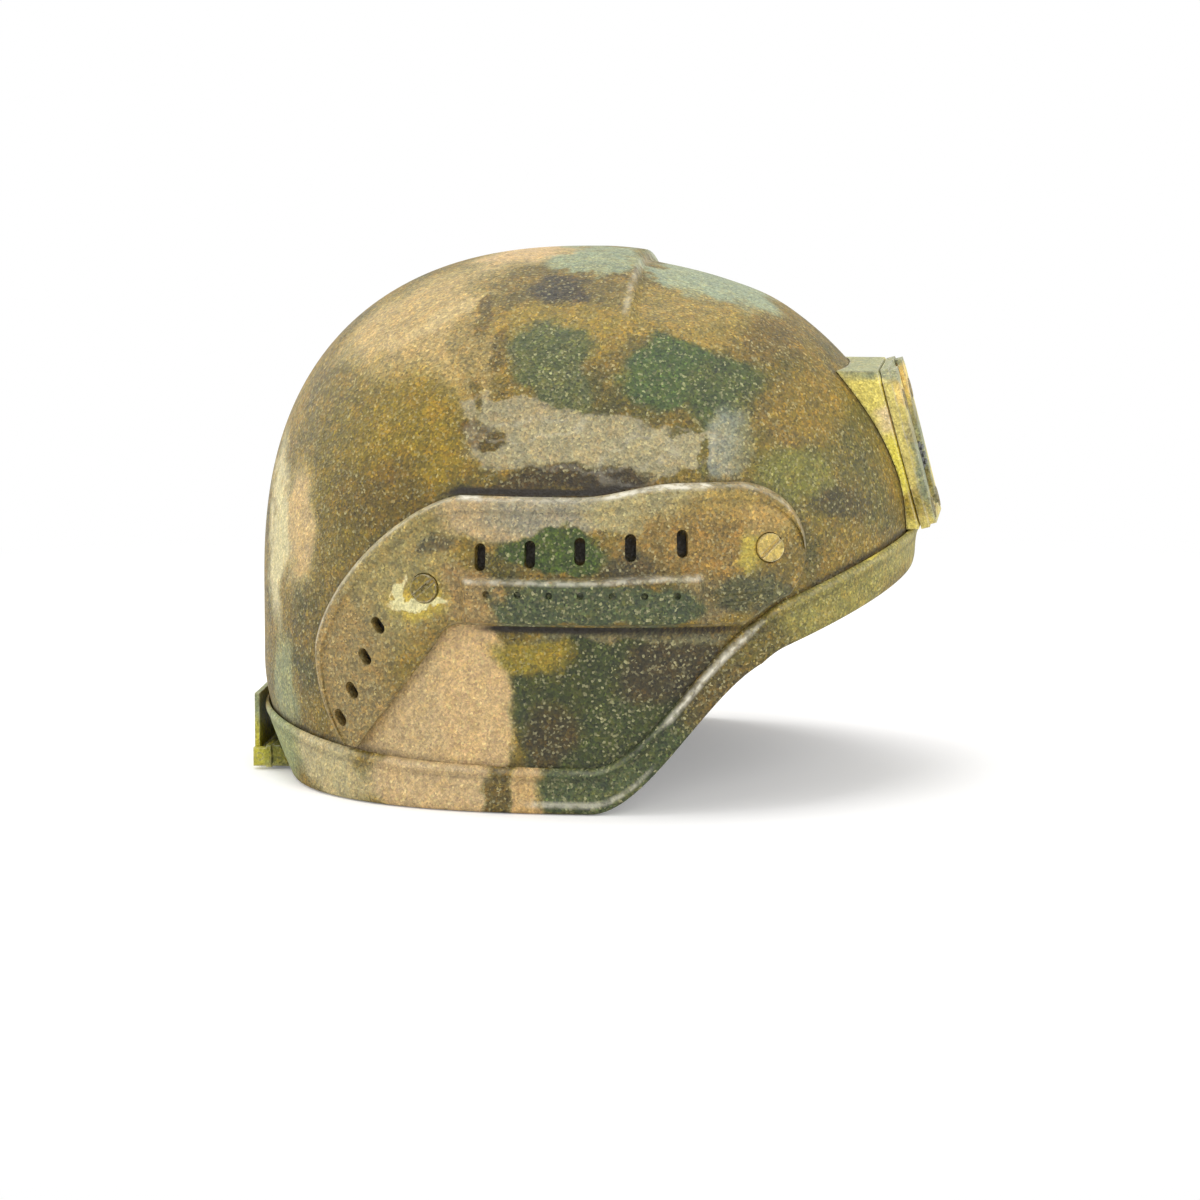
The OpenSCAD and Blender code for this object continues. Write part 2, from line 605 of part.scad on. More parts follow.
module crown_pad() {
    color(foam) skin(
        [for (i = [len(pad_rings) - 1:-1:0]) crown_ring(pad_rings[i][0], pad_back - pad_rings[i][1]*pad_t)],
        [0, 0, crown_z + pad_back - 1.05*pad_t], [0, 0, crown_z + pad_back]);
}
module front_pad() {
    color(foam) pad(1, front_pad_c, front_pad_h, pad_back - front_gap, pad_t - front_gap, 0.12);
}
module rear_pad() { color(foam) pad(2, rear_pad_c, rear_pad_h, pad_back, pad_t, 0.12); }
module side_pad_front_right() { color(foam) pad(0, side_front_c, side_pad_h, pad_back, pad_t); }
module side_pad_rear_right() { color(foam) pad(0, side_rear_c, side_pad_h, pad_back, pad_t); }
module side_pad_front_left() { mirror([0, 1, 0]) side_pad_front_right(); }
module side_pad_rear_left() { mirror([0, 1, 0]) side_pad_rear_right(); }
module nape_pad() {
    color(foam) pad(2, nape_pad_c, nape_pad_h, nape_web_d - web_t/2 - 0.6, nape_pad_t, -0.1);
}
module disc(kind, c, h, thick) {
    pad(kind, c, h, -shell_wall - seat, thick, 0, disc_rings);
}
module hook_discs() {
    color("black") {
        disc(2, rear_pad_c, 0.6*rear_pad_h, disc_t);
        disc(1, front_pad_c, [12.5, 16], disc_t + front_gap);
        both_sides() {
            disc(0, side_front_c, 0.6*side_pad_h, disc_t);
            disc(0, side_rear_c, 0.6*side_pad_h, disc_t);
        }
        skin([for (i = [1, 0]) crown_ring(0.6, -shell_wall - seat - i*disc_t)],
            [0, 0, crown_z - shell_wall - seat - disc_t],
            [0, 0, crown_z - shell_wall - seat]);
    }
}

// Harness: flat webbing bands swept along the inside of the shell

// Four-cornered ring of webbing that lies on the right wall at x, z and depth d; n is the way across the band
function wall_point(x, z, d) = [x, -side_y(x, z, d), z];
function side_ring(x, z, d, n = [0, 1]) = [for (q = [[-1, 1], [-1, -1], [1, -1], [1, 1]])
    wall_point(x + q[0]*n[0]*web_w/2, z + q[0]*n[1]*web_w/2, d + q[1]*web_t/2)];
// The same on the rear wall at azimuth t
function rear_ring(t, z, d) = [for (q = [[-1, 1], [-1, -1], [1, -1], [1, 1]])
    skin_at(t, z + q[0]*web_w/2, d + q[1]*web_t/2)];
function rear_rings(t0, t1, z, d, n) = [for (i = [0:n]) rear_ring(mix(t0, t1, i/n), z, d)];
module band(rings) {
    skin(rings, middle(rings[0]), middle(rings[len(rings) - 1]));
}
web_d = -shell_wall - 5.1;
joiner_x = 12;
joiner_z = 34;
strap_steps = 7;
function strap_rings(p, q) = let (n = unit([-(q - p)[1], (q - p)[0]]), s = n[1] < 0 ? -1 : 1)
    [for (i = [0:strap_steps]) let (k = i/strap_steps)
        side_ring(mix(p[0], q[0], k), mix(p[1], q[1], k), web_d, s*n)];
module front_strap_right() {
    color(webbing)
        band(strap_rings([bolt_front_x - 3, bolt_front_z - bracket_drop - 1],
            [joiner_x + 12, joiner_z + 12]));
}
module rear_strap_right() {
    color(webbing) band([for (i = [strap_steps:-1:0])
        strap_rings([bolt_rear_x + 3, bolt_rear_z - bracket_drop - 1], [joiner_x - 12, joiner_z + 10])[i]]);
}
module front_strap_left() { mirror([0, 1, 0]) front_strap_right(); }
module rear_strap_left() { mirror([0, 1, 0]) rear_strap_right(); }
nape_web_d = -shell_wall - 4.9;
module nape_strap_right() { color(webbing) band(rear_rings(246, 195, nape_pad_c[1], nape_web_d, 9)); }
module nape_strap_left() { mirror([0, 1, 0]) nape_strap_right(); }
chin_z = 28;
chin_d = -shell_wall - 5;
joiner_d = web_d - web_t/2 - 1.2;
joiner_t = 3;
module strap_joiners() {
    color(nylon) both_sides() on_wall(joiner_x, joiner_z - 2, joiner_d - joiner_t)
        linear_extrude(joiner_t) difference() {
        translate([-19, -12]) square([38, 26]);
        for (v = [-6, -1, 5, 10]) translate([-web_w/2 - 3, v]) square([web_w + 6, 2.6]);
    }
}
chin_start = [side_ring(8, 22, web_d), side_ring(-8, 24.5, web_d)];
module chin_strap_right() {
    color(webbing) band(concat(chin_start, rear_rings(262, 191, chin_z, chin_d, 14)));
}
module chin_strap_left() {
    color(webbing) mirror([0, 1, 0]) band(concat(
        [side_ring(-67.4, chin_z, -24), side_ring(-80, chin_z, -18.5), side_ring(-92, chin_z, -14.5)],
        rear_rings(219, 191, chin_z, chin_d, 6)));
}
module chin_strap_tail() {
    color(webbing) mirror([0, 1, 0]) band(concat(chin_start, [side_ring(-21, chin_z, -18.8)]));
}
module chin_cup() { color(nylon) pad(2, [0, chin_z], [44, 11], chin_d - web_t/2 - 0.8, 7); }

// Side-release buckle, drawn in its own frame: X along the strap towards the nape, Y away from the wall, Z up

buckle_len = 36;
buckle_h = 27;
buckle_t = 10;
prong_len = 24;
module on_buckle() {
    translate([-22, half_w - 20, chin_z]) rotate([0, 0, 180 + 20]) children();
}
module buckle_socket() {
    color(nylon) on_buckle() difference() {
        translate([0, -buckle_t/2, -buckle_h/2]) cube([buckle_len, buckle_t, buckle_h]);
        translate([8, -buckle_t/2 + 1.8, -buckle_h/2 + 1.8])
            cube([buckle_len, buckle_t - 3.6, buckle_h - 3.6]);
        translate([15, -buckle_t, -buckle_h/2 - 1]) cube([11, 2*buckle_t, 5]);
        translate([15, -buckle_t, buckle_h/2 - 4]) cube([11, 2*buckle_t, 5]);
        translate([2.5, -buckle_t, -web_w/2 - 0.5]) cube([3, 2*buckle_t, web_w + 1]);
    }
}
module buckle_plug() {
    color(nylon) on_buckle() difference() {
        union() {
            translate([buckle_len + fit, -buckle_t/2, -buckle_h/2]) cube([11, buckle_t, buckle_h]);
            translate([12, -2.5, -2.5]) cube([buckle_len - 11, 5, 5]);
        }
        translate([buckle_len + 5, -buckle_t, -web_w/2 - 0.5]) cube([3, 2*buckle_t, web_w + 1]);
    }
}
// One springing prong above the guide
module prong() {
    translate([15.6, -2.8, 5.2]) cube([buckle_len - 15.6 - 0.2, 5.6, 2.6]);
    translate([15.6, -2.8, 5.2]) cube([10, 5.6, 7.6]);
}
module buckle_prong_upper() { color(nylon) on_buckle() prong(); }
module buckle_prong_lower() { color(nylon) on_buckle() mirror([0, 0, 1]) prong(); }

// Goggle-strap clip at the nape: a wide flap on a pin that holds the strap against the rim

clip_w = 64;
clip_top = 31;
clip_face = -rear_len - 2.2;
clip_plate_x = clip_face + 5.3;
clip_plate_t = 2.2;
clip_pin_x = clip_face + 2.6;
clip_pin_z = 5.5;
clip_pin_r = 1.5;
clip_screws = [-20, 20];
clip_screw_z = 5.8;
backing_x = -rear_len + 31;
block_low = 1.4;
block_high = 10;
block_rows = 3;
block_cols = 8;
// Solid between an upright plane and the curved rear wall at offset d
module rear_block(y0, y1, plane, d) {
    near = function(i, j) [plane, mix(y0, y1, i/block_cols), mix(block_low, block_high, j/block_rows)];
    far = function(i, j) let (q = near(i, j)) [-end_x(false, q[1], q[2], d), q[1], q[2]];
    way = plane < -end_x(false, 0, block_high, d) ? 1 : -1;
    ring = function(j) concat(
        [for (i = [0:block_cols]) way > 0 ? near(block_cols - i, j) : near(i, j)],
        [for (i = [0:block_cols]) way > 0 ? far(i, j) : far(block_cols - i, j)]);
    skin([for (j = [0:block_rows]) ring(j)], middle(ring(0)), middle(ring(block_rows)));
}
module clip_screw_holes(r) {
    for (y = clip_screws) translate([-rear_len - 12.5, y, clip_screw_z]) rotate([0, 90, 0])
        cylinder(r = r, h = 60, $fn = 32);
}
module clip_spacer() {
    color(rubber) difference() {
        rear_block(-clip_w/2 + 1, clip_w/2 - 1, clip_plate_x + clip_plate_t + fit/2, fit + trim_wall + 0.7);
        clip_screw_holes(screw_r + fit);
    }
}
module clip_backing() {
    color(nylon) difference() {
        for (y = clip_screws) rear_block(y - 8, y + 8, backing_x, -shell_wall - trim_wall - 2*fit);
        clip_screw_holes(screw_r + fit);
    }
}
// Bar along the clip's pin axis
module pin_bar(r, length, sides) {
    translate([clip_pin_x, -length/2, clip_pin_z]) rotate([-90, 0, 0])
        cylinder(r = r, h = length, $fn = sides);
}
module goggle_clip_base() {
    color(nylon) difference() {
        union() {
            translate([clip_plate_x, -clip_w/2, 1]) cube([clip_plate_t, clip_w, block_high - 1]);
            for (y = [-clip_w/2, clip_w/2 - 4])
                translate([clip_face, y, 1.5]) cube([clip_plate_x - clip_face + 1, 4, 7.5]);
        }
        pin_bar(clip_pin_r, 2*clip_w, 32);
        clip_screw_holes(screw_r + fit);
        for (y = clip_screws) translate([clip_plate_x - 0.01, y, clip_screw_z]) rotate([0, 90, 0])
            cylinder(r1 = 2*screw_r - 0.2, r2 = screw_r + fit, h = clip_plate_t - 0.5, $fn = 48);
    }
}
module goggle_clip_latch() {
    flap_w = clip_w - 8 - 2*fit;
    color(nylon) difference() {
        union() {
            pin_bar(2.4, flap_w, 48);
            translate([clip_face, -flap_w/2, clip_pin_z]) cube([2, flap_w, clip_top - clip_pin_z]);
            translate([clip_face - 0.45, -flap_w/2 + 6, clip_top - 4]) cube([2, flap_w - 12, 1.6]);
        }
        pin_bar(clip_pin_r + 0.06, 2*clip_w, 32);
    }
}
module goggle_clip_pin() {
    color(steel) pin_bar(clip_pin_r, clip_w, 32);
}
clip_nut_t = 2.2;
clip_nut_x = backing_x + fit/2;
module goggle_clip_screws() {
    color(steel) for (y = clip_screws)
        translate([clip_plate_x + 0.1, y, clip_screw_z]) rotate([0, 90, 0]) difference() {
        union() {
            cylinder(r1 = 2*screw_r - 0.5, r2 = screw_r, h = clip_plate_t - 0.8, $fn = 48);
            cylinder(r = screw_r, h = clip_nut_x + clip_nut_t + 0.6 - clip_plate_x, $fn = 32);
        }
        translate([0, 0, -1]) cylinder(r = 1.2, h = 1.9, $fn = 6);
    }
}
module goggle_clip_nuts() {
    color(steel) for (y = clip_screws)
        translate([clip_nut_x, y, clip_screw_z]) rotate([0, 90, 0]) difference() {
        cylinder(r = 4.6, h = clip_nut_t, $fn = 48);
        translate([0, 0, -1]) cylinder(r = screw_r + 0.05, h = 5, $fn = 32);
    }
}

shell();
edge_trim();
rail_right();
rail_left();
rail_bolts();
rail_nuts();
harness_brackets();
shroud_saddle();
shroud_plate();
shroud_lock();
lock_spring();
lock_keeper();
shroud_screws();
shroud_nuts();
hook_discs();
crown_pad();
front_pad();
rear_pad();
side_pad_front_right();
side_pad_rear_right();
side_pad_front_left();
side_pad_rear_left();
nape_pad();
front_strap_right();
front_strap_left();
rear_strap_right();
rear_strap_left();
nape_strap_right();
nape_strap_left();
strap_joiners();
chin_strap_right();
chin_strap_left();
chin_strap_tail();
chin_cup();
buckle_socket();
buckle_plug();
buckle_prong_upper();
buckle_prong_lower();
goggle_clip_base();
goggle_clip_latch();
goggle_clip_pin();
goggle_clip_screws();
goggle_clip_nuts();
clip_spacer();
clip_backing();
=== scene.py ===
# %% [markdown]
# # Dressing a full-cut combat helmet
# The solids of this helmet come from a imported CAD model: shell, rubber edge trim, side rails, front shroud,
# liner, chin harness and goggle-strap clip. This file gives them their looks. Where a solid is faceted or
# soft, a finer surface takes its place, worked out from the same formulas as the solid, so that nothing moves.
# Every length in the formulas is in millimetres, and is turned to metres when a mesh is made.

# %% Load the imported model and fix each mesh in its world place
import math

import bpy
import numpy as np
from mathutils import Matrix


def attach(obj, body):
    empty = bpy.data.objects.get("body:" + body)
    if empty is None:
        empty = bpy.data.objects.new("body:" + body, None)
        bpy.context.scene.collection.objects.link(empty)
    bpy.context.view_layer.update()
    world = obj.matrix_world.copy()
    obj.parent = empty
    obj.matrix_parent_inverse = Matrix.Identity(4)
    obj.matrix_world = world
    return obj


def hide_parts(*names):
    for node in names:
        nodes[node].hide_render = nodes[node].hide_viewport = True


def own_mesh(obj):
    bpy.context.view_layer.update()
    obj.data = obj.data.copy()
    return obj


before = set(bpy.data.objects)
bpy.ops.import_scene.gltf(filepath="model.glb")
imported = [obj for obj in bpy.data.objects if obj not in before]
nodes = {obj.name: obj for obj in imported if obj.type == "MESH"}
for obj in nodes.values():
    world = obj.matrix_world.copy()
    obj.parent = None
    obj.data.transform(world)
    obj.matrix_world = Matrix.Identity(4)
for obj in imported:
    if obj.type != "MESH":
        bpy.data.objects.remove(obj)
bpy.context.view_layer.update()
scene = bpy.context.scene
HELMET = "helmet"

# %% [markdown]
# ## Sizes
# The shell is a super-ellipse in plan that draws in towards the crown. Each direction, front, rear and side,
# has its own height where it starts to draw in, and its own roundness. The edge is low over the ears, steps up
# at the temple and rises to the brow. These few numbers describe it all.

# %% The helmet's sizes in millimetres
FRONT, REAR, HALF_W, CROWN = 131.0, 137.5, 120.0, 214.0
WALL, PLAN_N = 8.0, 2.25
FRONT_Z, FRONT_P = 98.0, 1.9
REAR_Z, REAR_P = 75.0, 2.5
SIDE_Z, SIDE_P = 70.0, 2.35
EAR_RIM_Z, TEMPLE_X, TEMPLE_RUN, TEMPLE_RISE = 2.5, 9.0, 74.0, 61.0
BROW_X, BROW_SLOPE = 74.0, 0.4
FLARE, FLARE_TOP, BROW_DRAW, NAPE_DRAW = 2.0, 44.0, 6.5, 17.0
SEAT, FIT = 0.6, 0.3
WEB_W, WEB_T = 20.0, 1.8
print("shell:", FRONT + REAR, "x", 2*HALF_W, "x", CROWN, "mm")

# %% [markdown]
# ## The shell as a formula
# A helmet shell is pressed from layers of aramid cloth in a heated mould, so it has one smooth, doubly curved
# surface. A subdivision cage could be pushed into that shape by hand. A formula is better here, because
# every other piece (rail, trim, pad, strap) must lie on the shell at a known distance, and can ask for it.

# %% Profile functions
def ease(u):
    """Smooth step: 0 below 0, 1 above 1, and 3u^2 - 2u^3 between."""
    u = np.clip(u, 0, 1)
    return u*u*(3 - 2*u)


def between(v, start, rise, end, fade):
    """Smooth window: it rises from 0 to 1 over rise after start, and falls back to 0 over fade before end."""
    return ease((v - start)/rise)*ease((end - v)/fade)


def stripe(v, middle, width):
    """Tent: 1 where v is middle, and down in a straight line to 0 at width from it."""
    return np.clip(1 - np.abs(v - middle)/width, 0, 1)


def power(c, e):
    """Power that keeps the sign, the base of a super-ellipse."""
    return np.sign(c)*np.abs(c)**e


def fall(z, start, p, top):
    """Share of the full reach left at height z: 1 up to start, then a super-circle of power p up to top."""
    u = np.clip((z - start)/(top - start), 0, 1)
    return (1 - u**p)**(1/p)


def rim_at(x):
    """Height of the edge: low over the ears, one smooth step up at the temple, then a slope to the brow."""
    return EAR_RIM_Z + TEMPLE_RISE*ease((x - TEMPLE_X)/TEMPLE_RUN) + BROW_SLOPE*np.maximum(0, x - BROW_X)


def flare(x, z):
    """Outward push near the edge: 2 mm at the ears, less by the fourth power of the way to brow or nape, and
    fading with the square of the height over 44 mm."""
    push = FLARE - np.where(x > 0, BROW_DRAW*np.minimum(1, np.abs(x)/FRONT)**4,
                            NAPE_DRAW*np.minimum(1, np.abs(x)/REAR)**4)
    return push*np.maximum(0, 1 - np.maximum(0, z - rim_at(x))/FLARE_TOP)**2


def reach(front, z, d):
    """Half depth of the plan outline, pushed outward by d."""
    return np.where(front, (FRONT + d)*fall(z, FRONT_Z, FRONT_P, CROWN + d),
                    (REAR + d)*fall(z, REAR_Z, REAR_P, CROWN + d))


def breadth(z, d):
    """Half width of the plan outline, pushed outward by d."""
    return (HALF_W + d)*fall(z, SIDE_Z, SIDE_P, CROWN + d)


def rim_x(t):
    """Forward position on the widest outline at azimuth t."""
    return np.where(np.cos(t) > 0, FRONT, REAR)*power(np.cos(t), 2/PLAN_N)


def skin_at(t, z, d):
    """Point on the surface offset by d, at azimuth t (0 is the brow) and height z."""
    f = flare(rim_x(t), z)
    x = (reach(np.cos(t) > 0, z, d) + f)*power(np.cos(t), 2/PLAN_N)
    y = (breadth(z, d) + f)*power(np.sin(t), 2/PLAN_N)
    return np.stack(np.broadcast_arrays(x, y, z), -1)


def side_y(x, z, d=0.0):
    """Sideways distance of the offset surface at x and z: the outline's equation solved for y."""
    f = flare(x, z)
    a = reach(x > 0, z, d) + f
    return (breadth(z, d) + f)*np.maximum(0, 1 - np.minimum(1, np.abs(x)/a)**PLAN_N)**(1/PLAN_N)


def end_x(front, y, z, d=0.0):
    """Distance of the offset surface in front of the middle, or behind it, at y and z."""
    def share(b):
        """Share of the reach left at y, on an outline of half width b."""
        return np.maximum(0, 1 - np.minimum(1, np.abs(y)/b)**PLAN_N)**(1/PLAN_N)
    length = FRONT if front else -REAR
    b = breadth(z, d)
    s = share(b + flare(length*share(b), z))
    return (reach(front, z, d) + flare(length*s, z))*s


def wall_frame(x, z):
    """Matrix of a place on the right wall. Its third column is the outward normal, from the wall's slopes 1 mm
    to each side, and its second runs up the wall."""
    turn = math.atan(-(side_y(x + 1, z) - side_y(x - 1, z))/2)
    lean = math.atan(-(side_y(x, z + 1) - side_y(x, z - 1))/2)
    ct, st, cl, sl = math.cos(turn), math.sin(turn), math.cos(math.pi/2 - lean), math.sin(math.pi/2 - lean)
    turned = np.array([[ct, -st, 0], [st, ct, 0], [0, 0, 1]]) @ np.array([[1, 0, 0], [0, cl, -sl], [0, sl, cl]])
    place = np.eye(4)
    place[:3, :3] = turned
    place[:3, 3] = [x, -float(side_y(x, z)), z]
    return place


print("half width at the ear:", round(float(side_y(0.0, 30.0)), 1), "mm")

# %% [markdown]
# ## From a grid of points to a mesh
# Every new piece is a set of closed rings, one after another, like the hoops of a barrel. Neighbouring rings
# are joined by four-sided faces, and each end is closed by a fan, so the result is a solid skin. The sum of
# the signed volumes tells whether the faces point inward, and if so they are turned.

# %% Skin over rings
def skin(rings, loop=False, uv=None, values=None):
    """Points and faces of the skin through rings (m, n, 3); loop joins the last ring to the first."""
    m, n = rings.shape[:2]
    row = np.arange(m if loop else m - 1)[:, None]
    col = np.arange(n)[None, :]
    row2, col2 = (row + 1) % m, (col + 1) % n
    quads = np.stack([row*n + col, row*n + col2, row2*n + col2, row2*n + col], -1).reshape(-1, 4)
    tris = np.empty((0, 3), int)
    extra = {k: v.reshape(-1) for k, v in (values or {}).items()}
    if uv is not None:
        extra["uv"] = uv.reshape(-1, 2)
    points = rings.reshape(-1, 3)
    if not loop:
        ends = lambda v: np.concatenate([v, v[:n].mean(0, keepdims=True), v[-n:].mean(0, keepdims=True)])
        points, extra = ends(points), {k: ends(v) for k, v in extra.items()}
        ring = np.arange(n)
        after = (ring + 1) % n
        last = (m - 1)*n
        tris = np.vstack([np.stack([after, ring, np.full(n, m*n)], 1),
                          np.stack([last + ring, last + after, np.full(n, m*n + 1)], 1)])
    halves = np.vstack([tris, quads[:, [0, 1, 2]], quads[:, [0, 2, 3]]])
    a, b, c = (points[halves[:, k]] for k in range(3))
    if np.einsum("ij,ij->i", a, np.cross(b, c)).sum() < 0:
        quads, tris = quads[:, ::-1], tris[:, ::-1]
    return {"points": points, "quads": quads, "tris": tris, "extra": extra}


hoops = skin(np.zeros((2, 4, 3)))
print("two rings of four points give", len(hoops["quads"]), "quads and", len(hoops["tris"]), "triangles")


# %% Mesh from skins, and how a skin is moved, mirrored and rounded
def make_mesh(name, parts):
    """One Blender mesh from several skins, in metres, with their UV map and point values."""
    points, quads, tris, base = [], [], [], 0
    for part in parts:
        points.append(part["points"])
        quads.append(part["quads"] + base)
        tris.append(part["tris"] + base)
        base += len(part["points"])
    points, quads, tris = np.vstack(points)*0.001, np.vstack(quads), np.vstack(tris)
    mesh = bpy.data.meshes.new(name)
    mesh.vertices.add(len(points))
    mesh.vertices.foreach_set("co", points.ravel())
    corners = np.concatenate([quads.ravel(), tris.ravel()])
    mesh.loops.add(len(corners))
    mesh.loops.foreach_set("vertex_index", corners)
    mesh.polygons.add(len(quads) + len(tris))
    mesh.polygons.foreach_set("loop_start", np.concatenate([
        np.arange(len(quads))*4, len(quads)*4 + np.arange(len(tris))*3]))
    mesh.update(calc_edges=True)
    for key in parts[0]["extra"]:
        value = np.concatenate([part["extra"][key] for part in parts])
        if key == "uv":
            mesh.uv_layers.new(name="UVMap").uv.foreach_set("vector", value[corners].ravel())
        else:
            mesh.attributes.new(key, "FLOAT", "POINT").data.foreach_set("value", value)
    mesh.validate()
    return mesh


def placed(part, matrix):
    """The same skin carried by a 4 x 4 matrix."""
    return {**part, "points": part["points"] @ matrix[:3, :3].T + matrix[:3, 3]}


def other_side(part):
    """The mirror image of a skin on the wearer's left, with its faces turned back outward."""
    return {**part, "points": part["points"]*[1, -1, 1], "quads": part["quads"][:, ::-1],
            "tris": part["tris"][:, ::-1]}


def soften(points, times=2, closed=False):
    """Rounds a line by cutting its corners at a quarter and three quarters, over and over."""
    for _ in range(times):
        after = np.roll(points, -1, 0) if closed else points[1:]
        before = points if closed else points[:-1]
        cut = np.stack([0.75*before + 0.25*after, 0.25*before + 0.75*after], 1).reshape(-1, points.shape[1])
        points = cut if closed else np.vstack([points[:1], cut, points[-1:]])
    return points


print("a square whose corners are cut twice has", len(soften(np.eye(4), closed=True)), "corners")

# %% [markdown]
# A finished piece is more than a mesh. It rides on a body of the CAD model, it may stand for a solid that is
# then hidden, and it takes the material that it is given. One function says all of it, and shades the mesh
# smooth with sharp edges only where faces meet at a large angle.

# %% Add a finished piece
def add_piece(name, parts, material, stands_for=(), body=HELMET, sharp=35):
    """Makes the object, gives it its material, parents it to its body's empty and hides the solids it stands
    for.
    """
    mesh = parts if isinstance(parts, bpy.types.Mesh) else make_mesh(name, parts)
    mesh.shade_smooth()
    mesh.set_sharp_from_angle(angle=math.radians(sharp))
    mesh.materials.append(material)
    obj = bpy.data.objects.new(name, mesh)
    scene.collection.objects.link(obj)
    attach(obj, body)
    if stands_for:
        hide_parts(*stands_for)
    print(f"{name}: {len(mesh.polygons)} faces")
    return obj
# %% [markdown]
# ## Colours and nodes
# Colours are written as the hex values a painter would read off a screen, and one function turns them into the
# linear numbers that Blender's shaders need. One more function adds a shader node with its settings and links,
# so that a material reads as a list of steps, each with the name of what it makes.

# %% Colour and node helpers
def tint(code):
    """Linear RGBA of an sRGB hex colour."""
    srgb = np.array([int(code[i:i + 2], 16) for i in (1, 3, 5)])/255
    linear = np.where(srgb <= 0.04045, srgb/12.92, ((srgb + 0.055)/1.055)**2.4)
    return (*linear.tolist(), 1.0)


def add(tree, kind, inputs=None, **settings):
    """Adds a node. inputs maps a socket's name or number to a value, to a node, whose first live output is
    linked, or to one output socket."""
    made = tree.nodes.new("ShaderNode" + kind)
    for key, value in settings.items():
        setattr(made, key, value)
    for key, value in (inputs or {}).items():
        if isinstance(value, bpy.types.Node):
            value = next(socket for socket in value.outputs if socket.enabled)
        if isinstance(value, bpy.types.NodeSocket):
            tree.links.new(value, made.inputs[key])
        else:
            made.inputs[key].default_value = value
    return made


def new_material(name):
    """An empty node material, its tree, and the object coordinates that its patterns read."""
    material = bpy.data.materials.new(name)
    material.use_nodes = True
    tree = material.node_tree
    tree.nodes.clear()
    return material, tree, add(tree, "TexCoord").outputs["Object"]


COLOUR = {"data_type": "RGBA"}
SOFT = {"interpolation_type": "SMOOTHSTEP"}
print("middle grey in linear light:", round(tint("#808080")[0], 3))
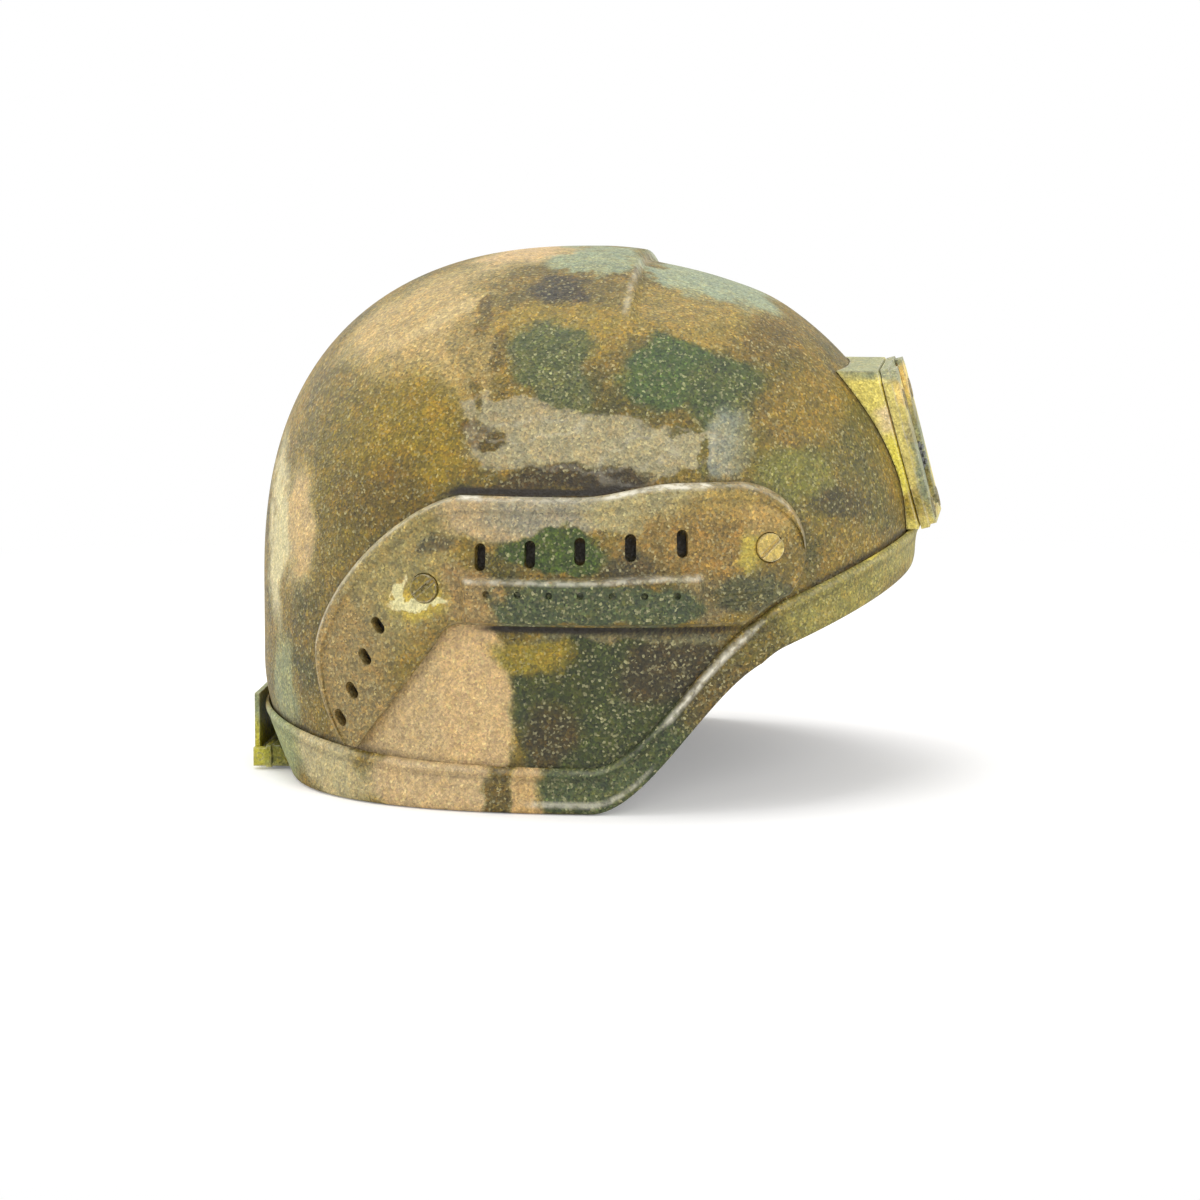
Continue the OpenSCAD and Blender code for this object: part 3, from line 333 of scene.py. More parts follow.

# %% [markdown]
# ## Hand-sprayed camouflage
# The whole outside wears one camouflage: an olive-gold ground with soft-edged patches of tan, teal, moss and
# umber, sprayed from a can a hand's width away, over a rough primer with metal flake in it. An image could hold
# the pattern, but it would stretch over the double curve. Here each patch is a ball in space, flattened and
# turned, with an edge that noise makes ragged. The shell passes through the balls, so the pattern sits on it
# like paint, and the rail and trim take their own patches. The flake is a cell pattern of about 1 mm, drawn
# coarser than real flake (0.1 to 0.2 mm) so that it shows at this distance.
#
# A patch is written as x, y, z, half length and half height (mm), colour, how far its edge fades, and where it
# has them, its slant (degrees) and the strength of the painted highlight along its edge.

# %% The patches
SHELL_PATCHES = [
    (-68, -59, 189, 37, 16, "#c8b686", 0.6, 28), (-25, -29, 211, 26, 8, "#d0be94", 0.6, 5),
    (-61, -82, 171, 28, 20, "#c6b27e", 0.6, 20), (-40, -85, 178, 9, 22, "#b5a06a", 0.35),
    (-84, -90, 139, 37, 33, "#938432", 0.8), (-67, -95, 146, 24, 24, "#a8922c", 0.8),
    (-74, -100, 123, 20, 13, "#8c782a", 0.8), (-113, -74, 106, 10, 24, "#cfbe90", 0.8),
    (-126, -53, 103, 5, 37, "#d4ceae", 0.9), (-97, -91, 89, 9, 17, "#978845", 0.8),
    (-6, -57, 203, 37, 11, "#8a7c44", 0.7), (-8, -63, 199, 12, 5, "#4c4638", 0.5, -5),
    (1, -31, 211, 18, 6, "#a4b2a0", 0.35), (48, -31, 202, 33, 7, "#a9b8a8", 0.35, -20),
    (-4, -79, 188, 33, 9, "#ad9846", 0.6), (49, -62, 190, 35, 8, "#ad9a5a", 0.6, -12),
    (73, -52, 181, 13, 9, "#8d7b47", 0.8), (-13, -87, 179, 15, 10, "#6c7a4e", 0.4),
    (-2, -98, 165, 12, 10, "#707c56", 0.4, -35), (38, -89, 171, 22, 13, "#5c784a", 0.3),
    (59, -86, 163, 18, 14, "#5c7048", 0.35), (63, -94, 147, 13, 11, "#a0a8a4", 0.5),
    (-20, -102, 156, 24, 8, "#b4ac94", 0.4, -3, 0.14), (0, -108, 145, 41, 11, "#bab298", 0.35, 0, 0.14),
    (32, -107, 141, 24, 9, "#bab296", 0.4, 15, 0.14), (60, -99, 141, 11, 9, "#a9ada6", 0.5),
    # Painted shade: the dark umber patches at z 128 to 130 mm on this line and the next lie along the rail's
    # upper edge.
    (-31, -104, 149, 8, 4, "#7a6a2a", 0.5), (15, -113, 130, 17, 5, "#5b4a22", 0.7, 5),
    (-19, -113, 128, 17, 3, "#73602a", 0.8), (93, -77, 140, 26, 33, "#8c8238", 0.8),
    (87, -72, 155, 13, 13, "#8b7a45", 0.8), (113, -56, 130, 9, 22, "#7f7a3c", 0.8, 20),
    (103, -75, 120, 11, 8, "#686034", 0.8), (-62, -111, 36, 39, 41, "#cfbf98", 0.3),
    (-38, -117, 43, 16, 37, "#d4c298", 0.25), (20, -119, 42, 43, 36, "#4f5f36", 0.2),
    (-3, -120, 52, 20, 13, "#4c5a2c", 0.5), (-14, -120, 63, 17, 9, "#ac9c3a", 0.5),
    (41, -116, 58, 20, 14, "#544e38", 0.5, 20), (-5, -120, 32, 13, 13, "#57502f", 0.6),
    (27, -118, 70, 39, 3, "#8f8d78", 0.7), (-122, -63, 41, 8, 20, "#a4ac8a", 0.8),
    (42, -100, 152, 8, 2, "#7c7636", 0.5, 12), (50, -103, 140, 2, 10, "#857f42", 0.5),
    # Painted shade: the dark umber patches at z 132 and 123 mm on this line and the next lie along the rail's
    # upper edge.
    (-35, -104, 148, 10, 3, "#7d6a24", 0.45, -6), (4, -113, 132, 26, 4, "#5a4c20", 0.7, 3),
    (-23, -114, 123, 24, 2, "#4a3a1a", 0.9), (92, -63, 157, 13, 13, "#a28c3c", 0.8),
    (86, -88, 130, 13, 11, "#8f9048", 0.8), (105, -73, 120, 9, 7, "#66602e", 0.5),
    # The first patch on this line, a pale thin streak, is a paint edge with a painted highlight along it.
    (-59, -63, 189, 25, 3, "#cfc193", 0.9, 24), (-37, -65, 194, 2, 6, "#857339", 0.7),
    (-38, -75, 187, 2, 7, "#8c7b3a", 0.7, 10), (-31, -86, 178, 2, 9, "#8a7936", 0.7, -14),
    (-39, -96, 162, 2, 8, "#8e7e3a", 0.8, 24)]
RAIL_PATCHES = [
    (-76, -104, 93, 35, 30, "#b3a674", 0.6, 35), (-91, -96, 52, 24, 33, "#b09c70", 0.7),
    (-30, -115, 116, 20, 10, "#c6b696", 0.6), (-3, -116, 118, 26, 8, "#b4aea2", 0.6),
    (31, -113, 120, 26, 7, "#bdb48e", 0.6, 5), (64, -105, 116, 20, 11, "#bca462", 0.6, -10),
    (-50, -113, 104, 9, 4, "#7a7560", 0.8), (50, -112, 105, 28, 13, "#a88e55", 0.6),
    (-3, -118, 103, 23, 9, "#557030", 0.22), (27, -117, 100, 11, 8, "#6d6650", 0.7),
    (-40, -116, 85, 13, 10, "#b39a70", 0.4), (55, -112, 85, 13, 9, "#a08e68", 0.5),
    (9, -120, 82, 43, 10, "#5f7058", 0.2), (74, -104, 87, 22, 7, "#6c6f55", 0.6),
    # Painted highlight: the yellow patches at the front and rear bolts on this line, and the cream marks on the
    # next, stand for light on the bolts' rims.
    (74, -103, 104, 8, 8, "#c6ba5a", 0.7), (-58, -112, 84, 11, 7, "#c9ba54", 0.8),
    (-58, -112, 83, 11, 2, "#e2ddbf", 0.3), (-67, -108, 87, 2, 6, "#ddd8b8", 0.3),
    (75, -99, 116, 9, 6, "#bfa66a", 0.7)]
TRIM_PATCHES = [
    (-52, -115, 9, 28, 17, "#d1c19c", 0.4), (-98, -89, 14, 24, 15, "#c8c09c", 0.6, -25),
    (-125, -48, 16, 11, 15, "#a5b288", 0.8), (-14, -121, 9, 10, 17, "#d0bc8c", 0.35),
    (-27, -120, 9, 6, 17, "#8a7a4c", 0.5), (16, -121, 10, 26, 17, "#66785e", 0.25),
    (41, -118, 29, 17, 17, "#55674a", 0.5), (57, -113, 52, 16, 18, "#7a6f48", 0.6, -45),
    (74, -105, 66, 17, 11, "#837a44", 0.7), (105, -79, 82, 28, 17, "#a8a25e", 0.7, 20),
    # Painted highlight: the thin yellow patch at x 112, z 96 mm stands for light on the brow trim's upper edge.
    (127, -27, 97, 15, 13, "#b2ac6c", 0.7), (112, -69, 96, 9, 2, "#d6cc60", 0.4, 18)]
PLATE_PATCHES = [
    (130, 0, 138, 40, 60, "#e0d68e", 0.3), (136, 0, 134, 4, 34, "#a8b4a0", 0.7, 15),
    (126, 0, 168, 14, 8, "#b4bba2", 0.5), (128, 0, 157, 6, 6, "#ead698", 0.6),
    (131, 0, 146, 5, 7, "#b9b692", 0.6), (134, 0, 112, 8, 8, "#c2b45c", 0.8)]
SADDLE_PATCHES = [
    (118, 0, 140, 40, 60, "#ebe08c", 0.3), (112, 0, 170, 20, 9, "#b8bd9c", 0.5),
    (122, 0, 146, 8, 7, "#ecdcc0", 0.7), (130, 0, 112, 10, 8, "#cabc54", 0.7),
    (127, 0, 130, 6, 12, "#f2e872", 0.7, 15)]
CLIP_PATCHES = [
    # The clip's pale cover patch and the yellow at its foot are lighter than its paint, partly painted
    # highlight.
    (-136, 0, 30, 40, 60, "#b6c09a", 0.3), (-139, 0, 8, 14, 13, "#d4d050", 0.8),
    (-127, 0, 6, 6, 9, "#98a04a", 0.8)]
# Painted highlight: the pale yellow patch lies on the front rail bolt's head.
BOLT_PATCHES = [(76, -110, 104, 10, 10, "#cfc070", 0.4)]
print("patches on shell, rail and trim:", len(SHELL_PATCHES), len(RAIL_PATCHES), len(TRIM_PATCHES))

# %% [markdown]
# The helmet's two sides were sprayed by hand, so they don't match. The place that the patches read is folded to
# the right side, slid a little on the left, and then shaken by three noises, the coarsest 35 mm across and the
# finest 3 mm, which make the edges ragged.

# %% Where the pattern lies
# Scale and amount of each noise: 1 over its size in metres, and twice its furthest push in metres.
SHAKES = ((28.0, 0.022), (95.0, 0.009), (330.0, 0.004))


def pattern_place(tree, spot):
    """Object coordinates with y folded to the right, slid forward and down on the left, plus noise less a half,
    times an amount in metres, at three scales."""
    parts = add(tree, "SeparateXYZ", {0: spot})
    slid = add(tree, "MapRange", {0: parts.outputs[1], 1: 0.0, 2: 0.09}, **SOFT)
    forward = add(tree, "Math", {0: slid, 1: 0.034, 2: parts.outputs[0]}, operation="MULTIPLY_ADD")
    lower = add(tree, "Math", {0: slid, 1: -0.014, 2: parts.outputs[2]}, operation="MULTIPLY_ADD")
    width = add(tree, "Math", {0: parts.outputs[1]}, operation="ABSOLUTE")
    right = add(tree, "Math", {0: width, 1: -1.0}, operation="MULTIPLY")
    place = add(tree, "CombineXYZ", {0: forward, 1: right, 2: lower})
    for scale, amount in SHAKES:
        shake = add(tree, "TexNoise", {"Vector": spot, "Scale": scale, "Detail": 3.0}).outputs["Color"]
        centred = add(tree, "VectorMath", {0: shake, 1: (0.5, 0.5, 0.5)}, operation="SUBTRACT")
        place = add(tree, "VectorMath", {0: centred, 1: (amount, amount, amount), 2: place},
                    operation="MULTIPLY_ADD")
    return place


print("noises of", [round(1000/scale) for scale, _ in SHAKES], "mm")

# %% [markdown]
# The ground is never one colour: gold and moss clouds of 2 cm lie in it, where the can came close. The patches
# follow in the order in which they were sprayed, each over the ones before. A patch may have a ring of painted
# highlight along its edge, in the pale primer colour, where thick paint would stand up and catch the light.

# %% Ground colour and patches
GOLD, MOSS, CLOUD = "#a48e3a", "#6f6d36", 45.0


def sprayed_patches(tree, spot, patches, ground, spread):
    """Colour of the ground under the patches, and a mask of painted highlight along the patches' edges. A patch
    is 1 where the distance from its centre, in half sizes, is under 1 - fade/2, and 0 past 1 + fade/2. spread
    is its half size across the helmet."""
    place = pattern_place(tree, spot)
    cloud = add(tree, "TexNoise", {"Vector": spot, "Scale": CLOUD, "Detail": 4.0})
    gold = add(tree, "MapRange", {0: cloud, 1: 0.35, 2: 0.7}, **SOFT)
    moss = add(tree, "MapRange", {0: cloud, 1: 0.5, 2: 0.28}, **SOFT)
    colour = add(tree, "Mix", {0: gold, 6: tint(ground), 7: tint(GOLD)}, **COLOUR)
    colour = add(tree, "Mix", {0: moss, 6: colour, 7: tint(MOSS)}, **COLOUR)
    ring_highlights = 0.0
    for x, y, z, half_x, half_z, code, fade, *rest in patches:
        slant, highlight_strength = (*rest, 0, 0)[:2]
        ball = add(tree, "Mapping", {
            "Vector": place, "Location": (x*0.001, y*0.001, z*0.001),
            "Rotation": (0, -math.radians(slant), 0),
            "Scale": (half_x*0.001, spread*0.001, half_z*0.001)}, vector_type="TEXTURE")
        far = add(tree, "VectorMath", {0: ball}, operation="LENGTH")
        mask = add(tree, "MapRange", {0: far, 1: 1 + fade/2, 2: 1 - fade/2}, **SOFT)
        colour = add(tree, "Mix", {0: mask, 6: colour, 7: tint(code)}, **COLOUR)
        # Painted highlight: a ring along the patch's edge, drawn later in the pale primer colour.
        if highlight_strength:
            outside = add(tree, "MapRange", {0: far, 1: 1 + fade/3, 2: 1, 4: highlight_strength}, **SOFT)
            inside = add(tree, "MapRange", {0: far, 1: 1 - fade/3, 2: 1}, **SOFT)
            ring = add(tree, "Math", {0: outside, 1: inside}, operation="MULTIPLY")
            ring_highlights = add(tree, "Math", {0: ring_highlights, 1: ring}, operation="MAXIMUM")
    return colour, ring_highlights


print("clouds in the ground:", round(1000/CLOUD), "mm")

# %% [markdown]
# The coat comes layer by layer. Seen close, the paint is a grainy mix: blotches of 4 to 10 mm where gold, dark
# olive and a little pink primer show through, then flake of about 1 mm, then grit of half a millimetre.
# Pale patches were sprayed last and thickest, so they hide more of the grain. Edges show the pale primer colour
# as painted highlight, with some wear: on the finer surfaces a point value says where, and on plain solids the
# Bevel node finds their convex edges by itself. Painted shade in corners, gaps and holes comes from a second
# point value.

# %% Grain of the paint
GRAIN = [(0.0, "#343014"), (0.14, "#5a5c2e"), (0.34, "#77743e"), (0.54, "#8c8452"), (0.74, "#ab9644"),
         (0.88, "#ae9876"), (0.95, "#d2cea6")]
BLOTCH = [(0.3, "#4e4e26"), (0.42, "#78743c"), (0.52, "#8a8250"), (0.6, "#a89038"), (0.72, "#a89664")]
# Of the colours below, the dark brown is painted shade, and the pale cream is painted highlight with some wear.
PALE_FLAKE, PAINTED_SHADE_COLOUR, PRIMER_AND_HIGHLIGHT, FLAKE_MM = "#c9c294", "#1f180b", "#e6e0cc", 0.9


def grainy(tree, spot, colour):
    """Colour with blotches and flake laid on as OVERLAY, by 62 percent on dark paint and 27 percent on pale
    paint. One cell in five is a pale flake that shows through. Then the colour is multiplied by the flakes'
    brightness, by fine grit and by a slow drift."""
    light = add(tree, "RGBToBW", {0: colour})
    much = add(tree, "MapRange", {0: light, 1: 0.14, 2: 0.6, 3: 0.62, 4: 0.27})
    blotches = add(tree, "TexNoise", {"Vector": spot, "Scale": 150.0, "Detail": 4.0, "Roughness": 0.6})
    cells = add(tree, "TexVoronoi", {"Vector": spot, "Scale": 1000.0/FLAKE_MM})
    chance = add(tree, "SeparateXYZ", {0: cells.outputs["Color"]})
    for pattern, stops, way in ((blotches, BLOTCH, "LINEAR"), (chance, GRAIN, "CONSTANT")):
        shade = add(tree, "ValToRGB", {0: pattern})
        bar = shade.color_ramp
        bar.interpolation = way
        for k, (at, code) in enumerate(stops):
            stop = bar.elements[k] if k < 2 else bar.elements.new(at)
            stop.position, stop.color = at, tint(code)
        colour = add(tree, "Mix", {0: much, 6: colour, 7: shade}, blend_type="OVERLAY", **COLOUR)
    pale = add(tree, "MapRange", {0: chance.outputs[1], 1: 0.8, 2: 1.0, 4: 0.62})
    pale = add(tree, "Math", {0: pale, 1: much}, operation="MULTIPLY")
    colour = add(tree, "Mix", {0: pale, 6: colour, 7: tint(PALE_FLAKE)}, **COLOUR)
    least = add(tree, "Math", {0: much, 1: -0.65, 2: 1.0}, operation="MULTIPLY_ADD")
    most = add(tree, "Math", {0: much, 1: 0.8, 2: 1.0}, operation="MULTIPLY_ADD")
    bright = add(tree, "MapRange", {0: chance.outputs[2], 3: least, 4: most})
    fine = add(tree, "TexVoronoi", {"Vector": spot, "Scale": 1900.0}).outputs["Color"]
    grit = add(tree, "MapRange", {0: fine, 3: 0.78, 4: 1.22})
    pooled = add(tree, "TexNoise", {"Vector": spot, "Scale": 260.0, "Detail": 3.0})
    drift = add(tree, "MapRange", {0: pooled, 1: 0.25, 2: 0.75, 3: 0.84, 4: 1.16})
    for shade in (bright, grit, drift):
        colour = add(tree, "Mix", {0: 1.0, 6: colour, 7: shade}, blend_type="MULTIPLY", **COLOUR)
    return colour, cells, chance, pooled


print("flakes in a square centimetre:", round((10/FLAKE_MM)**2))


# %% The whole coat
def convex_edges(tree, radius, low, high, most):
    """Mask of a solid's convex edges: where the Bevel node's normal turns away from the true one."""
    rounded = add(tree, "Bevel", {"Radius": radius}, samples=4)
    true = add(tree, "NewGeometry").outputs["Normal"]
    match = add(tree, "VectorMath", {0: rounded, 1: true}, operation="DOT_PRODUCT")
    return rounded, add(tree, "MapRange", {0: match, 1: low, 2: high, 4: most}, **SOFT)


def camouflage(name, patches, ground="#8c7c3c", spread=46.0, plain=False, rough=0.58):
    """Sprayed coat: ground, patches, grain, painted shade, and edges in painted highlight with some wear. plain
    is for a solid with no point values. The bump is the drift times 1.6 plus half the distance from a flake's
    centre."""
    material, tree, spot = new_material(name)
    colour, ring_highlights = sprayed_patches(tree, spot, patches, ground, spread)
    colour, cells, chance, pooled = grainy(tree, spot, colour)
    # Painted shade: a point value darkens the coat in corners, in gaps between pieces and in holes.
    shade_mask = add(tree, "Attribute", attribute_name="dirt").outputs["Fac"]
    colour = add(tree, "Mix", {0: shade_mask, 6: colour, 7: tint(PAINTED_SHADE_COLOUR)}, **COLOUR)
    patchy = add(tree, "MapRange", {0: pooled, 1: 0.38, 2: 0.6, 3: 0.35}, **SOFT)
    # Painted highlight with some wear: on a plain solid the Bevel node finds the convex edges, on a finer
    # surface a point value gives the lines, and the patches' edge rings are added.
    if plain:
        rounded, worn = convex_edges(tree, 0.0011, 0.985, 0.86, 0.55)
    else:
        worn = add(tree, "Attribute", attribute_name="worn").outputs["Fac"]
    worn = add(tree, "Math", {0: worn, 1: ring_highlights}, operation="MAXIMUM")
    worn = add(tree, "Math", {0: worn, 1: patchy}, operation="MULTIPLY")
    colour = add(tree, "Mix", {0: worn, 6: colour, 7: tint(PRIMER_AND_HIGHLIGHT)}, **COLOUR)
    pits = add(tree, "Math", {0: cells.outputs["Distance"], 1: 0.5}, operation="MULTIPLY")
    grit = add(tree, "Math", {0: pooled, 1: 1.6, 2: pits}, operation="MULTIPLY_ADD")
    bump = add(tree, "Bump", {"Height": grit, "Distance": 0.0005})
    if plain:
        tree.links.new(rounded.outputs[0], bump.inputs["Normal"])
    shine = add(tree, "MapRange", {0: chance.outputs[1], 3: rough - 0.12, 4: rough + 0.16})
    shader = add(tree, "BsdfPrincipled", {"Base Color": colour, "Roughness": shine, "Normal": bump})
    add(tree, "OutputMaterial", {0: shader})
    return material


shell_coat = camouflage("sprayed camouflage on laminate", SHELL_PATCHES)
rail_coat = camouflage("sprayed camouflage on rail polymer", RAIL_PATCHES, ground="#94824c")
trim_coat = camouflage("sprayed camouflage on trim rubber", TRIM_PATCHES, rough=0.66)
plate_coat = camouflage("sprayed camouflage on shroud plate", PLATE_PATCHES, "#e0d68e", 60.0, plain=True)
saddle_coat = camouflage("sprayed camouflage on saddle", SADDLE_PATCHES, "#e0d468", 60.0, plain=True)
clip_coat = camouflage("sprayed camouflage on strap clip", CLIP_PATCHES, "#7d8048", 120.0, plain=True)
bolt_coat = camouflage("sprayed camouflage on bolt heads", BOLT_PATCHES, "#a89b4c", 90.0, plain=True)
print("coats:", len(bpy.data.materials))

# %% [markdown]
# ## Inside finishes
# Inside, the laminate has a dark epoxy paint, rolled on, with a fine orange peel of 1.5 mm. A roller leaves a
# satin film, so it is a little shinier than the coat outside.

# %% Rolled paint
def rolled_paint():
    """Two dark olives mixed by clouds of 3 cm, with a noise of 1.5 mm as bump."""
    material, tree, spot = new_material("rolled epoxy paint")
    cloud = add(tree, "TexNoise", {"Vector": spot, "Scale": 30.0, "Detail": 3.0})
    faded = add(tree, "MapRange", {0: cloud, 1: 0.3, 2: 0.7}, **SOFT)
    colour = add(tree, "Mix", {0: faded, 6: tint("#2b2c22"), 7: tint("#3a3b2c")}, **COLOUR)
    peel = add(tree, "TexNoise", {"Vector": spot, "Scale": 650.0, "Detail": 2.0})
    bump = add(tree, "Bump", {"Height": peel, "Distance": 0.0003})
    shader = add(tree, "BsdfPrincipled", {"Base Color": colour, "Roughness": 0.5, "Normal": bump})
    add(tree, "OutputMaterial", {0: shader})
    return material


inner_paint = rolled_paint()
print(inner_paint.name)

# %% [markdown]
# The pads are covered in brushed loop cloth. Its fibres are about 1 mm long and stand up, so it has no shine
# but a soft sheen at grazing angles, and it shows lighter blotches where it was brushed one way. The binding
# tape and the sewing thread are made the same way, with finer fibres.

# %% Brushed cloth
def brushed_cloth(name, pale, dark, pile=900.0, sheen=0.5):
    """Dark and pale cloth mixed by brushed blotches of 14 mm, multiplied by fibre noise. pile is the fibres'
    scale, 1000 over their size in mm. The bump is the fibres plus 0.8 times the blotches."""
    material, tree, spot = new_material(name)
    nap = add(tree, "TexNoise", {"Vector": spot, "Scale": 70.0, "Detail": 3.0, "Distortion": 0.6})
    brushed = add(tree, "MapRange", {0: nap, 1: 0.35, 2: 0.7}, **SOFT)
    colour = add(tree, "Mix", {0: brushed, 6: tint(dark), 7: tint(pale)}, **COLOUR)
    fibre = add(tree, "TexNoise", {"Vector": spot, "Scale": pile, "Detail": 4.0, "Roughness": 0.7})
    shade = add(tree, "MapRange", {0: fibre, 1: 0.3, 2: 0.7, 3: 0.7, 4: 1.25})
    colour = add(tree, "Mix", {0: 1.0, 6: colour, 7: shade}, blend_type="MULTIPLY", **COLOUR)
    high = add(tree, "Math", {0: nap, 1: 0.8, 2: fibre}, operation="MULTIPLY_ADD")
    bump = add(tree, "Bump", {"Height": high, "Distance": 0.0006})
    shader = add(tree, "BsdfPrincipled", {"Base Color": colour, "Roughness": 0.92, "Normal": bump,
                                          "Sheen Weight": sheen, "Sheen Roughness": 0.4})
    add(tree, "OutputMaterial", {0: shader})
    return material


pad_cloth = brushed_cloth("brushed loop cloth", "#4d4c3c", "#33342a")
cup_cloth = brushed_cloth("chin cup cloth", "#4a4838", "#2e2e24", pile=1300.0, sheen=0.3)
binding = brushed_cloth("folded binding tape", "#3c3b2d", "#26261d", pile=1500.0, sheen=0.2)
thread = brushed_cloth("waxed sewing thread", "#6e6648", "#4a452f", pile=2600.0, sheen=0.2)
print("cloths:", pad_cloth.name, cup_cloth.name, binding.name, thread.name)

# %% [markdown]
# Hook tape has rows of stiff nylon hooks 1.4 mm apart on a black ground. At this size a hook is a bump, so a
# cell pattern that is nearly regular gives the rows.

# %% Hook tape
def hook_tape():
    """Cells 1.4 mm apart, pale at the middle and black between, with 1 less the distance as bump."""
    material, tree, spot = new_material("hook tape")
    hooks = add(tree, "TexVoronoi", {"Vector": spot, "Scale": 720.0, "Randomness": 0.35})
    ground = add(tree, "MapRange", {0: hooks, 1: 0.15, 2: 0.5}, **SOFT)
    colour = add(tree, "Mix", {0: ground, 6: tint("#3a3a38"), 7: tint("#0c0c0c")}, **COLOUR)
    high = add(tree, "Math", {0: 1.0, 1: hooks}, operation="SUBTRACT")
    bump = add(tree, "Bump", {"Height": high, "Distance": 0.0006})
    shader = add(tree, "BsdfPrincipled", {"Base Color": colour, "Roughness": 0.6, "Normal": bump})
    add(tree, "OutputMaterial", {0: shader})
    return material


hooks = hook_tape()
print(hooks.name)

# %% [markdown]
# The harness is woven polyamide webbing. It carries its weave along its own length, so it reads the strap's UV
# map, where 1 unit is 1 mm. A herringbone of threads 1.1 mm wide crosses it, drawn a third coarser than real
# webbing so that it shows, and a thicker cord is woven into each edge, 8 to 9 mm from the middle.

# %% Webbing
def woven_webbing(name, pale, dark):
    """Zigzag of threads: across, folded at 2.2 mm, is added to along, and the sum is folded at 0.55 mm. A
    second set of threads runs along. The bump adds fuzz and the cord in each edge."""
    material, tree, spot = new_material(name)
    uv = add(tree, "UVMap", uv_map="UVMap")
    parts = add(tree, "SeparateXYZ", {0: uv})
    along, across = parts.outputs[0], parts.outputs[1]
    zigzag = add(tree, "Math", {0: across, 1: 2.2}, operation="PINGPONG")
    slanted = add(tree, "Math", {0: along, 1: zigzag}, operation="ADD")
    rib = add(tree, "Math", {0: slanted, 1: 0.55}, operation="PINGPONG")
    warp = add(tree, "Math", {0: across, 1: 0.55}, operation="PINGPONG")
    weave = add(tree, "Math", {0: warp, 1: 0.6, 2: rib}, operation="MULTIPLY_ADD")
    raised = add(tree, "MapRange", {0: weave, 1: 0.1, 2: 0.75}, **SOFT)
    colour = add(tree, "Mix", {0: raised, 6: tint(dark), 7: tint(pale)}, **COLOUR)
    fuzz = add(tree, "TexNoise", {"Vector": uv, "Scale": 1.3, "Detail": 3.0}, noise_dimensions="2D")
    shade = add(tree, "MapRange", {0: fuzz, 1: 0.3, 2: 0.7, 3: 0.8, 4: 1.2})
    colour = add(tree, "Mix", {0: 1.0, 6: colour, 7: shade}, blend_type="MULTIPLY", **COLOUR)
    away = add(tree, "Math", {0: across}, operation="ABSOLUTE")
    cord = add(tree, "MapRange", {0: away, 1: 8.2, 2: 9.2}, **SOFT)
    high = add(tree, "Math", {0: fuzz, 1: 0.4, 2: cord}, operation="MULTIPLY_ADD")
    high = add(tree, "Math", {0: weave, 1: high}, operation="ADD")
    bump = add(tree, "Bump", {"Height": high, "Distance": 0.0004})
    shader = add(tree, "BsdfPrincipled", {"Base Color": colour, "Roughness": 0.8, "Normal": bump,
                                          "Sheen Weight": 0.25})
    add(tree, "OutputMaterial", {0: shader})
    return material


webbing = woven_webbing("woven polyamide webbing", "#8b8058", "#4c4730")
print(webbing.name)

# %% [markdown]
# Buckle, strap joiners and the clip's backing are injection-moulded acetal. A spark-eroded mould leaves a
# grain of about 2 mm, and rubbing makes the edges paler.

# %% Moulded plastics
def moulded_acetal(name, code, rubbed_code):
    """One colour, paler on rubbed edges, multiplied by a grain of 2.4 mm that is also the bump."""
    material, tree, spot = new_material(name)
    rounded, rubbed = convex_edges(tree, 0.0006, 0.98, 0.85, 0.25)
    colour = add(tree, "Mix", {0: rubbed, 6: tint(code), 7: tint(rubbed_code)}, **COLOUR)
    spark = add(tree, "TexNoise", {"Vector": spot, "Scale": 420.0, "Detail": 5.0, "Roughness": 0.6})
    shade = add(tree, "MapRange", {0: spark, 1: 0.3, 2: 0.7, 3: 0.85, 4: 1.15})
    colour = add(tree, "Mix", {0: 1.0, 6: colour, 7: shade}, blend_type="MULTIPLY", **COLOUR)
    bump = add(tree, "Bump", {"Height": spark, "Distance": 0.00018, "Normal": rounded})
    shader = add(tree, "BsdfPrincipled", {"Base Color": colour, "Roughness": 0.45, "Normal": bump})
    add(tree, "OutputMaterial", {0: shader})
    return material


acetal = moulded_acetal("moulded acetal", "#2b2c24", "#8a8a7c")
print(acetal.name)

# %% [markdown]
# Nuts, brackets, the clip's screws and the lock's keeper are steel with a black oxide finish. The oxide is
# thin, so it wears through to bright metal on the edges, and its shine drifts over a few millimetres.

# %% Steel
def blackened_steel(name, code, rough=0.42):
    """Oxide mixed with a paler steel by clouds of 6 mm, and bright metal on the convex edges. The clouds also
    move the roughness between rough - 0.08 and rough + 0.12."""
    material, tree, spot = new_material(name)
    cloud = add(tree, "TexNoise", {"Vector": spot, "Scale": 160.0, "Detail": 5.0})
    thin = add(tree, "MapRange", {0: cloud, 1: 0.35, 2: 0.65, 4: 0.5}, **SOFT)
    colour = add(tree, "Mix", {0: thin, 6: tint(code), 7: tint("#6b6760")}, **COLOUR)
    rounded, bare = convex_edges(tree, 0.0004, 0.98, 0.85, 0.8)
    colour = add(tree, "Mix", {0: bare, 6: colour, 7: tint("#b9b5ab")}, **COLOUR)
    shine = add(tree, "MapRange", {0: cloud, 1: 0.3, 2: 0.7, 3: rough - 0.08, 4: rough + 0.12})
    bump = add(tree, "Bump", {"Height": cloud, "Distance": 0.00008, "Normal": rounded})
    shader = add(tree, "BsdfPrincipled", {"Base Color": colour, "Metallic": 1.0, "Roughness": shine,
                                          "Normal": bump})
    add(tree, "OutputMaterial", {0: shader})
    return material


oxide = blackened_steel("black oxide steel", "#3d3b38")
spring_wire = blackened_steel("bright spring wire", "#8c8a85", 0.3)
print("materials:", [material.name for material in bpy.data.materials])

